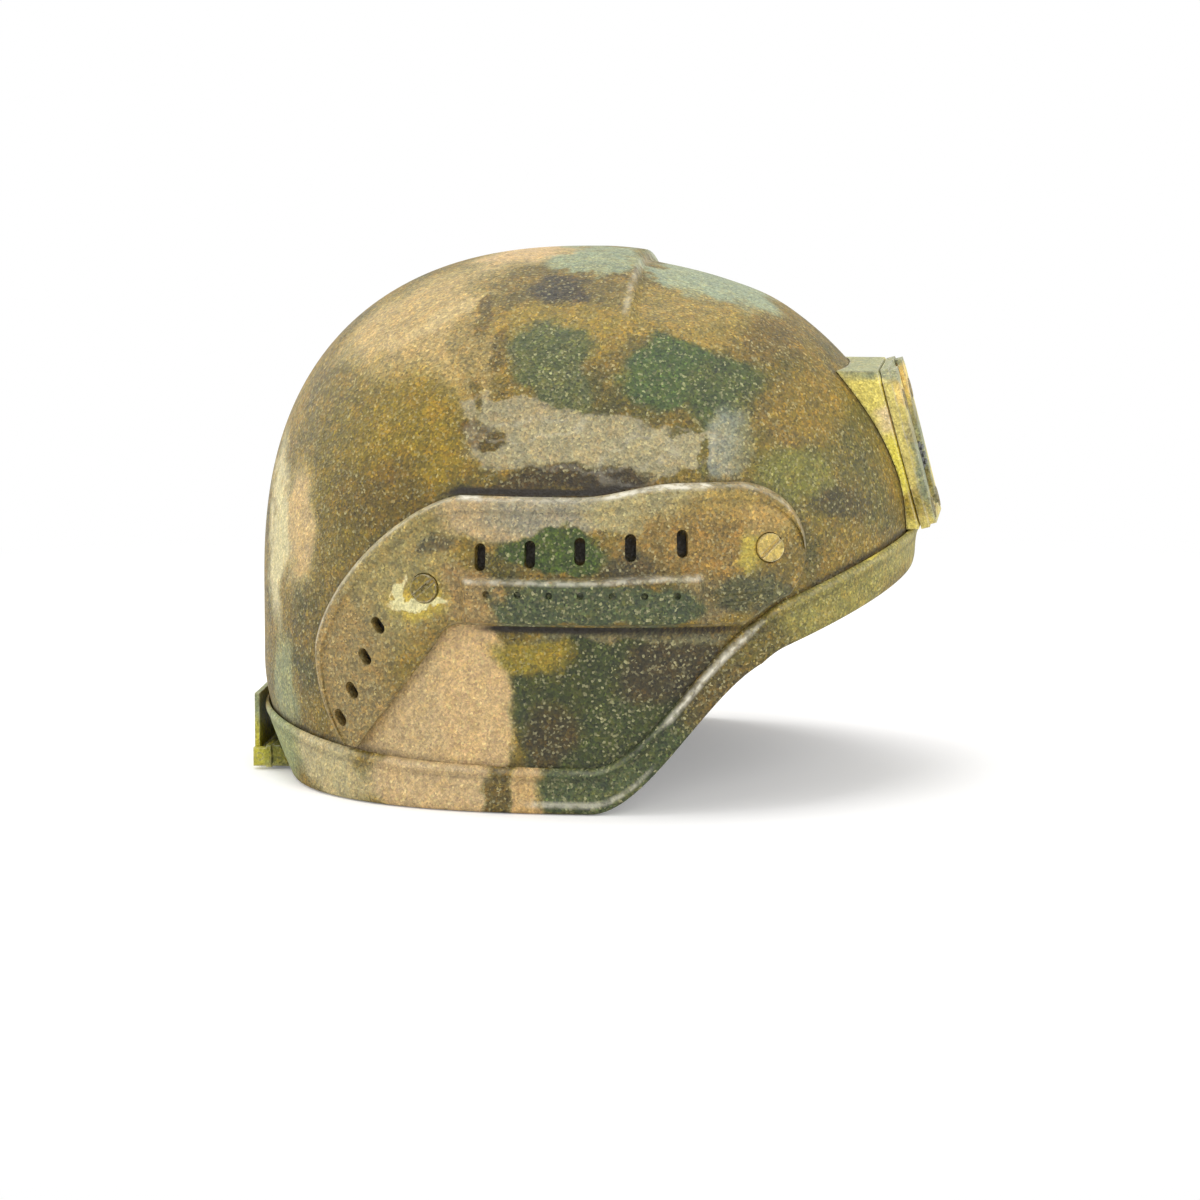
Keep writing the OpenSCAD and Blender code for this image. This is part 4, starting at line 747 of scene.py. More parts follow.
# %% [markdown]
# ## Rail outline
# Seen from the side, the accessory rail has a round nose, a straight body, and a rear arm that hooks down
# behind the ear. Its upper and lower edges could be two drawn curves. Here both are one function of k, so that
# a grid can be stretched between them. They come before the shell, because its painted shade lies along them
# too.

# %% Rail outline
RAIL_LOW, RAIL_TOP, NOSE_X, NOSE_RISE = 74.5, 124.5, 64.0, 5.5
NOSE_R = (RAIL_TOP - RAIL_LOW + NOSE_RISE)/2
BEND, BEND_HALF, ARM_TURN = np.array([-42.0, 60.0]), 62.5, 128
HEEL, HEEL_SHARE = np.array([-52.0, 66.5]), 0.25


def lip_width(x):
    """Height of the trim's outer lip above the edge: 16 mm, growing to 26.5 mm at the nape."""
    return 16 + 10.5*np.clip(-x/REAR, 0, 1)**3


def bend_point(angle):
    """Arc of the rail's rear arm: a super-ellipse above its centre and a circle below."""
    c, s = np.cos(angle), np.sin(angle)
    e = np.where(s > 0, 4/3, 1.0)
    high = np.where(s > 0, RAIL_TOP - BEND[1], BEND[1])
    return np.stack([BEND[0] + BEND_HALF*power(c, e), BEND[1] + high*power(s, e)], -1)


TIP = bend_point(np.array(math.radians(90 + ARM_TURN))) + [6, -0.5]
SLOTS = [(44 - 19.3*i, 106.6 - 1.4475*i) for i in range(5)]
HOLES = [(-73, 71), (-78.5, 58), (-84, 44), (-89, 32.5)]
BOLTS = [(76, 104), (-55, 88)]


def rail_edges(k):
    """Upper and lower edge of the rail. From k 0 to 1 both go round the nose, and from 1 to 2 along the body.
    From 2 to 3 the upper one follows the bend, and the lower one bows to the heel and runs on to the tip."""
    nose, run, arm = np.clip(k, 0, 1), np.clip(k - 1, 0, 1), np.clip(k - 2, 0, 1)
    a = np.radians(4 + 86*nose)
    x_run = NOSE_X + (BEND[0] - NOSE_X)*run
    round_x, round_z = NOSE_X + NOSE_R*np.cos(a), NOSE_R*np.sin(a)
    centre = RAIL_LOW + NOSE_R
    upper_nose = np.stack([round_x, centre + round_z], -1)
    clear_of_trim = rim_at(round_x) + lip_width(round_x) + 1
    lower_nose = np.stack([round_x, np.maximum(centre - round_z, clear_of_trim)], -1)
    upper_run = np.stack([x_run, RAIL_TOP + NOSE_RISE*ease((x_run - 3)/40)], -1)
    lower_run = np.stack([x_run, np.full_like(x_run, RAIL_LOW)], -1)
    upper_arm = bend_point(np.radians(90 + ARM_TURN*arm))
    arm = arm[..., None]
    w = np.minimum(1, arm/HEEL_SHARE)
    start = np.array([BEND[0], RAIL_LOW])
    bow = (1 - w)**2*start + 2*w*(1 - w)*(start - [6, 0]) + w**2*HEEL
    line = HEEL + (TIP - HEEL)*np.clip((arm - HEEL_SHARE)/(1 - HEEL_SHARE), 0, 1)
    lower_arm = np.where(arm < HEEL_SHARE, bow, line)
    pick = lambda p, q, r: np.where(k[..., None] < 1, p, np.where(k[..., None] < 2, q, r))
    return pick(upper_nose, upper_run, upper_arm), pick(lower_nose, lower_run, lower_arm)


print("the rail's tip is at x, z:", TIP.round(1).tolist())

# %% [markdown]
# ## Painted shade on the shell
# Dark lines of painted shade lie where the pieces on the shell shade it: along the rail's edges, behind its
# slots and holes, above the trim's lip and beside the saddle. They could be painted on by hand. A value at each
# point, 1 on such a line and fading beside it, does the same, and always lies where the pieces are.

# %% Painted shade on the shell
def near_line(x, z, line_x, line_z, width):
    """1 on a line in the side view and 0 at width from it. Works through the line in one broadcast."""
    far = np.hypot(x[..., None] - line_x, z[..., None] - line_z).min(-1)
    return np.clip(1 - far/width, 0, 1)


def saddle_half(v):
    """Half width of the shroud's saddle at v up its leaning face."""
    return np.where(v < 6, 24 + v/3, 26 + 5*np.clip((v - 6)/49, 0, 1))


def painted_shell_shade(x, y, z, low):
    """Painted shade from 0 to 1: bands of given width along the rail's edges, the trim's lip and the saddle's
    sides.
    """
    (upper_x, upper_z), (lower_x, lower_z) = (edge.T for edge in rail_edges(np.linspace(0, 3, 240)))
    above = 1.8*near_line(x, z, upper_x, upper_z + 1.6, 2.3)*between(x, -54, 12, 36, 18)
    wide_shade = 0.55*near_line(x, z, upper_x, upper_z + 4.5, 5.5)*between(x, -26, 10, 36, 12)
    under = 1.8*near_line(x, z, lower_x, lower_z - 1.6, 2.3)*between(x, -40, 14, 69, 10)
    arm = 0.35*near_line(x, z, upper_x, upper_z, 2.4)
    behind = 2*near_line(x, z, *np.array(SLOTS + HOLES).T, 7.0)
    on_rail = np.maximum.reduce([above, wide_shade, under, arm, behind])*ease((np.abs(y) - 60)/20)
    at_lip = stripe(z, low + lip_width(x) + 0.6, 2.2)*(0.25 + 0.5*ease((-60 - x)/30) + 0.6*ease((x - 88)/14))
    beside = stripe(np.abs(y), saddle_half(z - 104) + 1.4, 2.6)*(x > 60)*0.75*between(z, 98, 8, 171, 5)
    return np.clip(np.maximum.reduce([on_rail, at_lip, beside]), 0, 1)


print("dirt lies beside a saddle", 2*float(saddle_half(np.array(55.0))), "mm wide at its top")

# %% [markdown]
# ## Shell
# The pressed shell is the formula itself: rings from the inside of the crown down to the edge, and up again
# outside. A raised panel covers the crown and ends in a step above the temple, and in front of it the surface
# is up to 4.2 mm lower and meets the plain shell again towards the brow. The rows lie closest where the rail's
# edges are, so that the painted shade there stays sharp.

# %% Shell surface
STEP_DEPTH, TOP_SHARE, ROW_POWER = 4.2, 0.992, 1.2


def crown_step(x, y, z):
    """Depth by which the front of the crown lies lower: sudden behind the temple, gone 70 mm further on."""
    step_x = 17 + 0.05*np.abs(y)
    return STEP_DEPTH*ease((x - step_x)/3.5)*(1 - ease((x - step_x - 4)/66))*ease((z - 186)/16)


def shell_surface(columns=360):
    """Rings of the inner and the outer skin. A ring at share w of the way up has the height
    low + (top - low) sin(90 degrees times w^1.2), which crowds the rings towards the crown."""
    t = np.radians(360*np.arange(columns)/columns)[None, :]
    low = rim_at(rim_x(t))
    inner_rows = np.linspace(0, TOP_SHARE, 50)
    outer_rows = np.concatenate([np.linspace(0, 0.25, 50, endpoint=False),
                                 np.linspace(0.25, 0.5, 90, endpoint=False), np.linspace(0.5, TOP_SHARE, 60)])
    inner, outer = (skin_at(t, low + (CROWN + d - low)*np.sin(np.pi/2*w[:, None]**ROW_POWER), d)
                    for d, w in ((-WALL, inner_rows), (0.0, outer_rows)))
    x, y, z = np.moveaxis(outer, -1, 0)
    normal = np.stack([x/120**2, y/110**2, np.maximum(0, z - 90)/110**2], -1)
    outer = outer - crown_step(x, y, z)[..., None]*normal/np.linalg.norm(normal, axis=-1, keepdims=True)
    unmarked = np.zeros(inner.shape[:2])
    # A painted highlight runs along the edge of the crown step.
    crest_highlight = 0.35*near_line(x, z, np.linspace(18, 20, 20), np.linspace(194, 212, 20), 2.0)
    values = {"dirt": np.concatenate([unmarked, painted_shell_shade(x, y, z, low)]), "worn": np.concatenate([unmarked, crest_highlight])}
    print("rows and columns of the shell:", len(inner) + len(outer), "x", columns)
    return skin(np.concatenate([inner[::-1], outer]), values=values), len(inner)*columns


shell_part, inner_points = shell_surface()
shell = add_piece("shell_surface", [shell_part], shell_coat, ["shell"], sharp=60)

# %% [markdown]
# The shell wears two finishes, as the real one does: the coat outside, and rolled paint inside. A face belongs
# to the inside if its lowest point number does, because the inner rings come first.

# %% Paint the shell's inside
shell.data.materials.append(inner_paint)
corner_points = np.zeros(len(shell.data.loops), np.int32)
shell.data.loops.foreach_get("vertex_index", corner_points)
starts = np.zeros(len(shell.data.polygons), np.int32)
shell.data.polygons.foreach_get("loop_start", starts)
inside = np.minimum.reduceat(corner_points, starts) < inner_points
shell.data.polygons.foreach_set("material_index", inside.astype(np.int32))
print("faces inside the shell:", int(inside.sum()))

# %% [markdown]
# ## Edge trim
# A moulded rubber U is pushed over the raw edge of the laminate, where its plies would fray. It is one section
# carried round the rim. The section's corners are rounded by cutting them again and again, and its outer lip
# grows from 16 mm to 26 mm at the nape. A butt joint at the back closes it.

# %% Edge trim
TRIM_OUT, TRIM_IN = FIT + 2.6, -WALL - FIT - 2.6
# Corners of the section, from the lip down outside and up inside: share of the lip's height, rise and depth.
TRIM_SECTION = [(1, 0, FIT + 0.1), (1, -0.5, TRIM_OUT - 0.9), (1, -2.2, TRIM_OUT), (1, -3.4, TRIM_OUT),
                (1, -4.4, TRIM_OUT - 0.45), (0.45, 0, TRIM_OUT - 0.45), (0, 1, TRIM_OUT + 0.4),
                (0, -1.2, TRIM_OUT), (0, -2.5, TRIM_OUT - 1.4), (0, -2.5, -WALL), (0, -1.2, TRIM_IN + 0.9),
                (0, 1.5, TRIM_IN), (0, 10, TRIM_IN + 0.6), (0, 11, -WALL - FIT), (0, -FIT, -WALL - FIT),
                (0, -FIT, FIT + 0.1)]


def trim_surface(columns=420):
    """The section at each azimuth: heights count from the rim, and depths are offsets of the surface. The lip's
    crest has a painted highlight, most on the right side's front, and so has the sole there, and a line of
    painted shade runs under the lip."""
    t = np.radians(360*np.arange(columns)/columns)
    x = rim_x(t)
    lip = lip_width(x)
    corners = np.array([(share*lip + rise, depth + 0*lip) for share, rise, depth in TRIM_SECTION])
    corners = np.moveaxis(corners, 1, -1).reshape(len(TRIM_SECTION), -1)
    section = soften(corners, 2, closed=True).reshape(-1, columns, 2)
    height, depth = np.moveaxis(section, -1, 0)
    rings = np.moveaxis(skin_at(t[None, :], rim_at(x) + height, depth), 0, 1)
    front = between(x, 34, 8, 76, 10)*(np.sin(t) < 0)
    wide = 1.4 + 1.4*front
    crest_highlight = stripe(height, lip - 0.4 - wide, wide)*(0.12 + 0.8*front)
    sole_highlight = 0.7*stripe(height, 1.5, 1.6)*between(x, -18, 8, 36, 10)
    outside = depth > 1
    worn = np.clip((crest_highlight + sole_highlight)*outside, 0, 1)
    dirt = 0.35*stripe(height, lip - 5.0, 1.6)*outside
    return skin(rings, loop=True, values={"worn": worn.T, "dirt": dirt.T})


add_piece("edge_trim_surface", [trim_surface()], trim_coat, ["edge_trim"], sharp=50)

# %% [markdown]
# ## Side rails
# The rail is a glass-filled polyamide moulding that hugs the shell: a rim along its top, a raised track for
# clip-on parts, and a rear arm. A cross-section, written as height above the shell at shares of the width, is
# carried between its two edges. A rail pushed out of the shell's own mesh would take over the shell's rows. A
# grid of its own can lie close where the track's sides are steep.

# %% Rail body
TRACK_START, TRACK_END, RAIL_BASE, TRACK_H, LIP_H = -42.0, 54.0, 2.6, 3.4, 0.8


def rail_surface(steps=(34, 84, 96)):
    """Grid over k along the rail and share s from its upper edge to its lower one. Its height over the shell is
    a base with rounded edges, a lip near s = 0 and the track from s = 0.61 to 0.99. The back lies on the shell.
    Lines of painted highlight follow the lip, the track's ledge and the foot, and painted shade lies in the two
    corners."""
    k = np.concatenate([np.linspace(i, i + 1, n, endpoint=i == 2) for i, n in enumerate(steps)])
    upper, lower = rail_edges(k)
    s = np.concatenate([[0.0, 0.0, 0.006, 0.014, 0.024], np.linspace(0.034, 0.085, 4),
                        [0.095, 0.105, 0.115, 0.125], np.linspace(0.15, 0.59, 12),
                        [0.61, 0.622, 0.632, 0.642, 0.654], np.linspace(0.68, 0.93, 8),
                        [0.945, 0.955, 0.965, 0.975, 0.985, 0.993, 1.0, 1.0]])
    back = np.array([1.0, 0.8, 0.6, 0.4, 0.2, 0.0])
    on_track = (between(upper[:, 0], TRACK_START, 3, TRACK_END, 3)*(k > 0.9)*(k < 2.1))[:, None]
    lip = LIP_H*ease(s/0.02)*(1 - ease((s - 0.088)/0.03))
    track = TRACK_H*ease((s - 0.612)/0.035)*(1 - ease((s - 0.962)/0.026))
    base = RAIL_BASE + 2.1*ease(s/0.028)*(1 - 0.75*ease((s - 0.972)/0.028))
    height = FIT + base + lip + track*on_track
    height[:, [0, -1]] = FIT + 0.1
    on_shell = np.full((len(k), len(back)), FIT + 0.1)
    share = np.concatenate([s, back])[:, None]
    x, z = np.moveaxis(upper[:, None] + (lower - upper)[:, None]*share, -1, 0)
    rings = np.stack([x, -side_y(x, z, np.hstack([height, on_shell])), z], -1)
    # Along these spans the painted highlight on the rail's lip is strongest.
    bright = between(x[:, :1], 13, 5, 58, 5) + between(x[:, :1], -45, 3, -33, 3)
    crest_highlight = 1.4*stripe(s, 0.014, 0.026)*(0.25 + 0.75*bright)
    worn = np.maximum(np.maximum(crest_highlight, 0.6*stripe(s, 0.648, 0.03)*on_track), 0.12*stripe(s, 0.985, 0.02))
    dirt = np.maximum(0.35*stripe(s, 0.605, 0.02)*on_track, 0.25*stripe(s, 0.12, 0.02))
    values = {key: np.hstack([np.clip(v, 0, 1), 0*on_shell]) for key, v in (("worn", worn), ("dirt", dirt))}
    print("rows and columns of a rail:", *x.shape)
    return skin(rings, values=values)


rail_body = rail_surface()

# %% [markdown]
# The slots, bolt seats and dimples are left by a mould's pins. A grid of four-sided faces can't hold a clean
# hole, so each pin is a small solid, placed square to the wall, and the Boolean modifier takes it out.

# %% Cutters for slots, bolt seats and dimples
def prism(outline, low, high):
    """Upright solid over an outline of (n, 2) points. It carries painted shade, and so does the hole that it
    leaves.
    """
    ring = lambda z: np.column_stack([outline, np.full(len(outline), z)])
    recess_shade = np.full((2, len(outline)), 0.85)
    return skin(np.stack([ring(low), ring(high)]), values={"worn": 0*recess_shade, "dirt": recess_shade})


def circle(r, n=40):
    """Outline of n points: r times cosine and sine."""
    a = np.radians(360*np.arange(n)/n)
    return np.column_stack([r*np.cos(a), r*np.sin(a)])


def bar(length, width, n=20):
    """Outline of a bar: a half circle shifted up, and the same one turned round and shifted down."""
    a = np.radians(np.linspace(0, 180, n))
    cap = width/2*np.column_stack([np.cos(a), np.sin(a)])
    shift = np.array([0, length/2 - width/2])
    return np.vstack([cap + shift, -cap - shift])


def turned(degrees):
    """Matrix of a turn about the third axis."""
    a = math.radians(degrees)
    m = np.eye(4)
    m[:2, :2] = [[math.cos(a), -math.sin(a)], [math.sin(a), math.cos(a)]]
    return m


seat_hole, bolt_hole = prism(circle(6.1), 3.7, 14), prism(circle(2.8), -2, 3.9)
slot_hole, arm_hole = prism(bar(11, 4.4), -2, 12), prism(bar(7.5, 4.4) + [0, 1.55], -2, 12)
dimple = prism(circle(1.4, 20), 6.6, 13)
pins = [placed(hole, wall_frame(*spot)) for spot in BOLTS for hole in (seat_hole, bolt_hole)]
pins += [placed(slot_hole, wall_frame(*spot)) for spot in SLOTS]
pins += [placed(arm_hole, wall_frame(*spot) @ turned(40)) for spot in HOLES]
pins += [placed(dimple, wall_frame(-30 + 12*i, 76.5 + 0.6*17.5)) for i in range(7)]
print("cutters in a rail:", len(pins))


# %% Cut and place both rails
def cut(mesh, cutters):
    """Takes the cutters out of the mesh with a Boolean modifier and returns the finished mesh."""
    body, tool = bpy.data.objects.new("body", mesh), bpy.data.objects.new("tool", make_mesh("tool", cutters))
    for obj in (body, tool):
        scene.collection.objects.link(obj)
    modifier = body.modifiers.new("cut", "BOOLEAN")
    modifier.object, modifier.operation, modifier.solver = tool, "DIFFERENCE", "EXACT"
    done = bpy.data.meshes.new_from_object(body.evaluated_get(bpy.context.evaluated_depsgraph_get()))
    for obj in (body, tool):
        bpy.data.objects.remove(obj)
    return done


for side, turn in (("right", lambda part: part), ("left", other_side)):
    rail = cut(make_mesh(f"rail_{side}_surface", [turn(rail_body)]), [turn(pin) for pin in pins])
    add_piece(f"rail_{side}_surface", rail, rail_coat, [f"rail_{side}"], sharp=38)

# %% [markdown]
# Two short ribs stiffen the underside of the rail's nose. Each is a low ridge with drawn-out ends, laid on the
# rail's face.

# %% Nose ribs
def rib(x0, x1, z0, z1, width=2.2, high=1.0):
    """Oval carried in a straight line over the rail's face, 4.6 mm off the shell. Its size is the sixth-power
    super-circle of the share along it, so the ends draw in."""
    s = np.linspace(0, 1, 40)[:, None]
    a = np.radians(360*np.arange(16)/16)[None, :]
    thin = (1 - (2*np.abs(s - 0.5))**6)**0.5 + 0.02
    z, d = z0 + (z1 - z0)*s + width/2*thin*np.cos(a), 4.6 + high*thin*np.sin(a)
    x = np.broadcast_to(x0 + (x1 - x0)*s, z.shape)
    return skin(np.stack([x, -side_y(x, z, d), z], -1))


ribs = [rib(58, 82, 87.4, 88.6), rib(60, 80, 83.2, 84.8)]
add_piece("rail_nose_ribs", ribs + [other_side(part) for part in ribs], rail_coat)

# %% [markdown]
# ## Shroud saddle
# The flat shroud plate stands on a curved brow, so a moulded saddle fills the space between. Its back is the
# shell's own formula and its front is the plate's leaning plane, with the edge between them rounded.

# %% Saddle
LEAN = math.radians(14.8)
PLATE_X, PLATE_Z, PLATE_BACK, SHROUD_H = FRONT + 9.4, 104.0, -6.5, 67.0
ROUNDING, EDGE_SHARE = 0.8, 0.95


def saddle_surface(rows=40, columns=48):
    """Front grid on the leaning plane, then the same grid on the wall. The front is at least 0.3 mm off the
    wall, and where it is thick enough it draws back by 0.8 mm in the last twentieth towards its outline."""
    v = np.linspace(0, SHROUD_H, rows)[:, None]
    s = np.linspace(-1, 1, columns)[None, :]
    y = saddle_half(v)*s
    face_x = PLATE_X + (PLATE_BACK - FIT)*math.cos(LEAN) - v*math.sin(LEAN)
    face_z = PLATE_Z + (PLATE_BACK - FIT)*math.sin(LEAN) + v*math.cos(LEAN)
    face_z = np.broadcast_to(face_z, y.shape)
    wall_x = end_x(True, y, face_z, FIT)
    front_x = np.maximum(face_x, wall_x + 0.3)
    edge = np.maximum(np.abs(s), np.abs(2*v/SHROUD_H - 1))
    front_x = front_x - ROUNDING*ease((edge - EDGE_SHARE)/(1 - EDGE_SHARE))*(front_x - wall_x > 1.5)
    front, rear = np.stack([front_x, y, face_z], -1), np.stack([wall_x, y, face_z], -1)
    return skin(np.concatenate([front, rear[:, ::-1]], 1))


add_piece("saddle_surface", [saddle_surface()], saddle_coat, ["shroud_saddle"], sharp=40)

# %% [markdown]
# ## Lock springs
# Two small coil springs push the locking slide up. Their wire is wound cold round a pin, so the coil is a helix
# of even pitch. The solid's wire has four sides, and here it is round. When the slide drops 6 mm the springs
# shorten by as much, towards their seat on the window's sill.

# %% Lock springs
SPRING_LOW, SPRING_HIGH, SPRING_DEPTH, SPRING_WIRE, TRAVEL = 8.5, 22.5, -4.75, 0.3, 6.0
ON_PLATE = np.array([[math.cos(LEAN), 0, -math.sin(LEAN), PLATE_X], [0, 1, 0, 0],
                     [math.sin(LEAN), 0, math.cos(LEAN), PLATE_Z], [0, 0, 0, 1]])


def coil(y, turns=5, steps=40, sides=12):
    """Helix of wire: its centre goes round at 1 mm while it climbs, and a circle of the wire's radius rides on
    it."""
    a = 2*np.pi*turns*np.linspace(0, 1, turns*steps + 1)[:, None]
    b = 2*np.pi*np.arange(sides)/sides
    out = 1 + SPRING_WIRE*np.cos(b)
    up = SPRING_LOW + (SPRING_HIGH - SPRING_LOW)*a/a[-1] + SPRING_WIRE*np.sin(b)
    points = np.broadcast_arrays(SPRING_DEPTH + out*np.cos(a), y + out*np.sin(a), up)
    return placed(skin(np.stack(points, -1)), ON_PLATE)


springs = add_piece("lock_springs", [coil(-6), coil(6)], spring_wire, ["lock_spring"])
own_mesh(springs)

# %% [markdown]
# ## Liner pads
# A liner pad is slow foam in a cloth cover, sewn shut round its edge, so it swells between its seams: it is
# crowned in the middle, draws in at the seam, and puckers there. Blown-up cloth could be simulated, but these
# pads keep a moulded shape, so a formula is truer: a profile of share of outline and share of thickness is
# rounded, carried round a super-ellipse, and laid on the wall's inside. Shallow sewn channels cross the face.

# %% Where the pads lie
PAD_BACK, NAPE_BACK = -WALL - SEAT - 1.5, -WALL - 4.9 - WEB_T/2 - 0.6
SIDE_HALF = np.array([28.0, 27.0])
# Wall, centre (mm across, mm up), half sizes, depth of the back, thickness, and how much the top is narrower.
PADS = {
    "front_pad": ("front", (0, 131), (46, 24), PAD_BACK - 5.5, 13.5, 0.12),
    "rear_pad": ("rear", (0, 112), (46, 28), PAD_BACK, 19, 0.12),
    "side_pad_front_right": ("side", (30, 134), SIDE_HALF, PAD_BACK, 19, 0.0),
    "side_pad_rear_right": ("side", (-34, 132), SIDE_HALF, PAD_BACK, 19, 0.0),
    "nape_pad": ("rear", (0, 58), (44, 17), NAPE_BACK, 12, -0.1)}
SIDE_PADS = ("side_pad_front", "side_pad_rear")
# Share of the outline and share of the thickness, from the middle of the back to the middle of the face.
PAD_PROFILE = np.array([[0.0, 0.0], [0.5, 0.0], [0.88, 0.01], [0.97, 0.08], [1.0, 0.26], [0.985, 0.42],
                        [0.975, 0.47], [0.985, 0.52], [1.0, 0.66], [0.95, 0.88], [0.8, 0.985], [0.55, 1.03],
                        [0.25, 1.05], [0.0, 1.05]])
DISC_PROFILE = np.array([[0.0, 0.0], [0.6, 0.0], [1.0, 0.0], [1.0, 1.0], [0.6, 1.0], [0.0, 1.0]])
SEAM_SHARE, SEAM_DEPTH, PAD_POWER = 0.978, 0.47, 0.55


def on_place(kind, across, z, depth):
    """Point on the inside of the helmet: kind is side, front or rear."""
    if kind == "side":
        x, y = across, -side_y(across, z, depth)
    elif kind == "front":
        x, y = end_x(True, across, z, depth), across
    else:
        x, y = -end_x(False, across, z, depth), -across
    return np.stack(np.broadcast_arrays(x, y, z), -1)


def pad_point(kind, centre, half, taper, right, up, depth):
    """Point of a pad at right and up, in half sizes from its centre. Its width shrinks by taper times up."""
    across = centre[0] + right*half[0]*(1 - taper*up)
    return on_place(kind, across, centre[1] + up*half[1], depth)


def crown_ring(share, depth, a):
    """Ring on the crown: share 1 is 80 percent of the way up the shell's side, share 0 the very top."""
    w = 1 - 0.2*share
    low = rim_at(rim_x(a))
    return skin_at(a, low + (CROWN + depth - low)*np.sin(np.pi/2*w), depth)


print("pads:", 1 + len(PADS) + len(SIDE_PADS))


# %% Pads
def pad_rings(profile, n):
    """Columns of share and depth of a rounded profile, a row of n angles, and the seam, a bell at 0.96."""
    line = soften(profile, 3)[1:-1]
    share, deep = line[:, :1], line[:, 1:]
    return share, deep, np.radians(360*np.arange(n)/n)[None, :], np.exp(-((share - 0.96)/0.07)**2)


def pad_surface(kind, centre, half, back, thick, taper=0.0, profile=PAD_PROFILE, pucker=0.02, channels=0):
    """Rings of the profile round a super-ellipse of power 0.55. The seam puckers in 26 uneven waves, and each
    channel is a groove 1.1 mm deep across the face."""
    share, deep, a, seam = pad_rings(profile, 168)
    wave = np.cos(26*a + 1.3*np.sin(3*a))
    drawn = 1 + 0.3*pucker*(seam*wave)
    right, up = power(np.cos(a), PAD_POWER)*share*drawn, power(np.sin(a), PAD_POWER)*share*drawn
    depth = deep*thick*(1 + pucker*seam*wave)
    if channels:
        off = np.abs((up*channels + 0.5) % 1 - 0.5)
        depth = depth - 1.1*stripe(off, 0, 0.09)**1.5*ease((0.9 - share)/0.15)*(deep > 0.6)
    return skin(pad_point(kind, centre, half, taper, right, up, back - depth))


def crown_surface(back, thick, profile, scale=1.0, pucker=0.02):
    """Rings of the profile on the crown, with 34 waves in the seam."""
    share, deep, a, seam = pad_rings(profile, 200)
    depth = back - deep*thick*(1 + pucker*seam*np.cos(34*a))
    return skin(crown_ring(scale*share + 0*a, depth, a))


covers = {"crown_pad": crown_surface(PAD_BACK, 19, PAD_PROFILE)}
covers.update({name: pad_surface(*place, channels=2) for name, place in PADS.items()})
covers.update({f"{name}_left": other_side(covers[f"{name}_right"]) for name in SIDE_PADS})
for name, cover in covers.items():
    pad = add_piece(f"{name}_cover", [cover], pad_cloth, [name], sharp=180)

# %% [markdown]
# A folded tape binds the seam of each pad. It is a thin tube along the seam: the pad's own outline at its
# middle depth, with a small flat oval carried round it.

# %% Pad bindings
def seam_tape(ring, inward):
    """Oval of half sizes 0.5 and 1.5 mm carried round a seam line. Its long axis points to the line inward, and
    its short one out of the pad: the cross product of the way ahead and the way up."""
    ahead = np.roll(ring, -1, 0) - np.roll(ring, 1, 0)
    ahead /= np.linalg.norm(ahead, axis=1, keepdims=True)
    up = inward - ring
    up /= np.linalg.norm(up, axis=1, keepdims=True)
    out = np.cross(ahead, up)[:, None]
    face = np.cross(out, ahead[:, None])
    a = np.radians(36*np.arange(10))[None, :, None]
    return skin(ring[:, None] + 0.5*np.cos(a)*out + 1.5*np.sin(a)*face, loop=True)


def binding_of(kind, centre, half, back, thick, taper=0.0):
    """Tape at the seam's share of the outline and of the thickness. A line 2 mm deeper says which way is up."""
    a = np.radians(360*np.arange(160)/160)
    right, up = SEAM_SHARE*power(np.cos(a), PAD_POWER), SEAM_SHARE*power(np.sin(a), PAD_POWER)
    return seam_tape(*(pad_point(kind, centre, half, taper, right, up, back - SEAM_DEPTH*thick - more)
                       for more in (0, 2)))


def crown_binding():
    """The same tape round the crown pad, 9 mm above its back."""
    a = np.radians(360*np.arange(200)/200)
    return seam_tape(*(crown_ring(SEAM_SHARE + 0*a, PAD_BACK - depth, a) for depth in (9, 11)))


tapes = [crown_binding()] + [binding_of(*PADS[name]) for name in ("front_pad", "rear_pad", "nape_pad")]
for name in SIDE_PADS:
    tape = binding_of(*PADS[f"{name}_right"])
    tapes += [tape, other_side(tape)]
add_piece("pad_bindings", tapes, binding, sharp=180)

# %% [markdown]
# Discs of hook tape are glued to the shell, and the pads' loop cloth grips them. The front one is thicker, as a
# spacer, because the shroud's nuts lie behind that pad. They are pads with a square profile.

# %% Hook discs behind the pads
def disc(kind, centre, half, thick):
    """A pad with the disc's square profile, no taper and no pucker."""
    return pad_surface(kind, centre, half, -WALL - SEAT, thick, 0.0, DISC_PROFILE, 0.0)


discs = [crown_surface(-WALL - SEAT, 1.0, DISC_PROFILE, 0.6, 0.0), disc("rear", (0, 112), (27.6, 16.8), 1.0),
         disc("front", (0, 131), (12.5, 16), 6.5)]
for name in SIDE_PADS:
    one = disc("side", PADS[f"{name}_right"][1], 0.6*SIDE_HALF, 1.0)
    discs += [one, other_side(one)]
add_piece("hook_tape_discs", discs, hooks, ["hook_discs"], sharp=40)

# %% [markdown]
# ## Harness webbing
# Webbing is modelled directly, because a cloth simulation would erase so thin a strip. A rounded section of 20
# by 1.8 mm is carried along the inside of the wall. Each strap is given by a few sections, and a cubic curve
# through them gives the ones between. The UV map holds millimetres along and across.

# %% Section of the webbing
WEB_D, NAPE_D, CHIN_D, CHIN_Z = -WALL - 5.1, -WALL - 4.9, -WALL - 5.0, 28.0


def band_section(n=28):
    """Shares across and through a band with rounded edges, once round."""
    a = np.radians(360*np.arange(n)/n)
    flat = 1 - WEB_T/WEB_W
    return flat*np.clip(1.6*np.cos(a), -1, 1) + (1 - flat)*np.cos(a), power(np.sin(a), 0.45)


ACROSS, THROUGH = band_section()


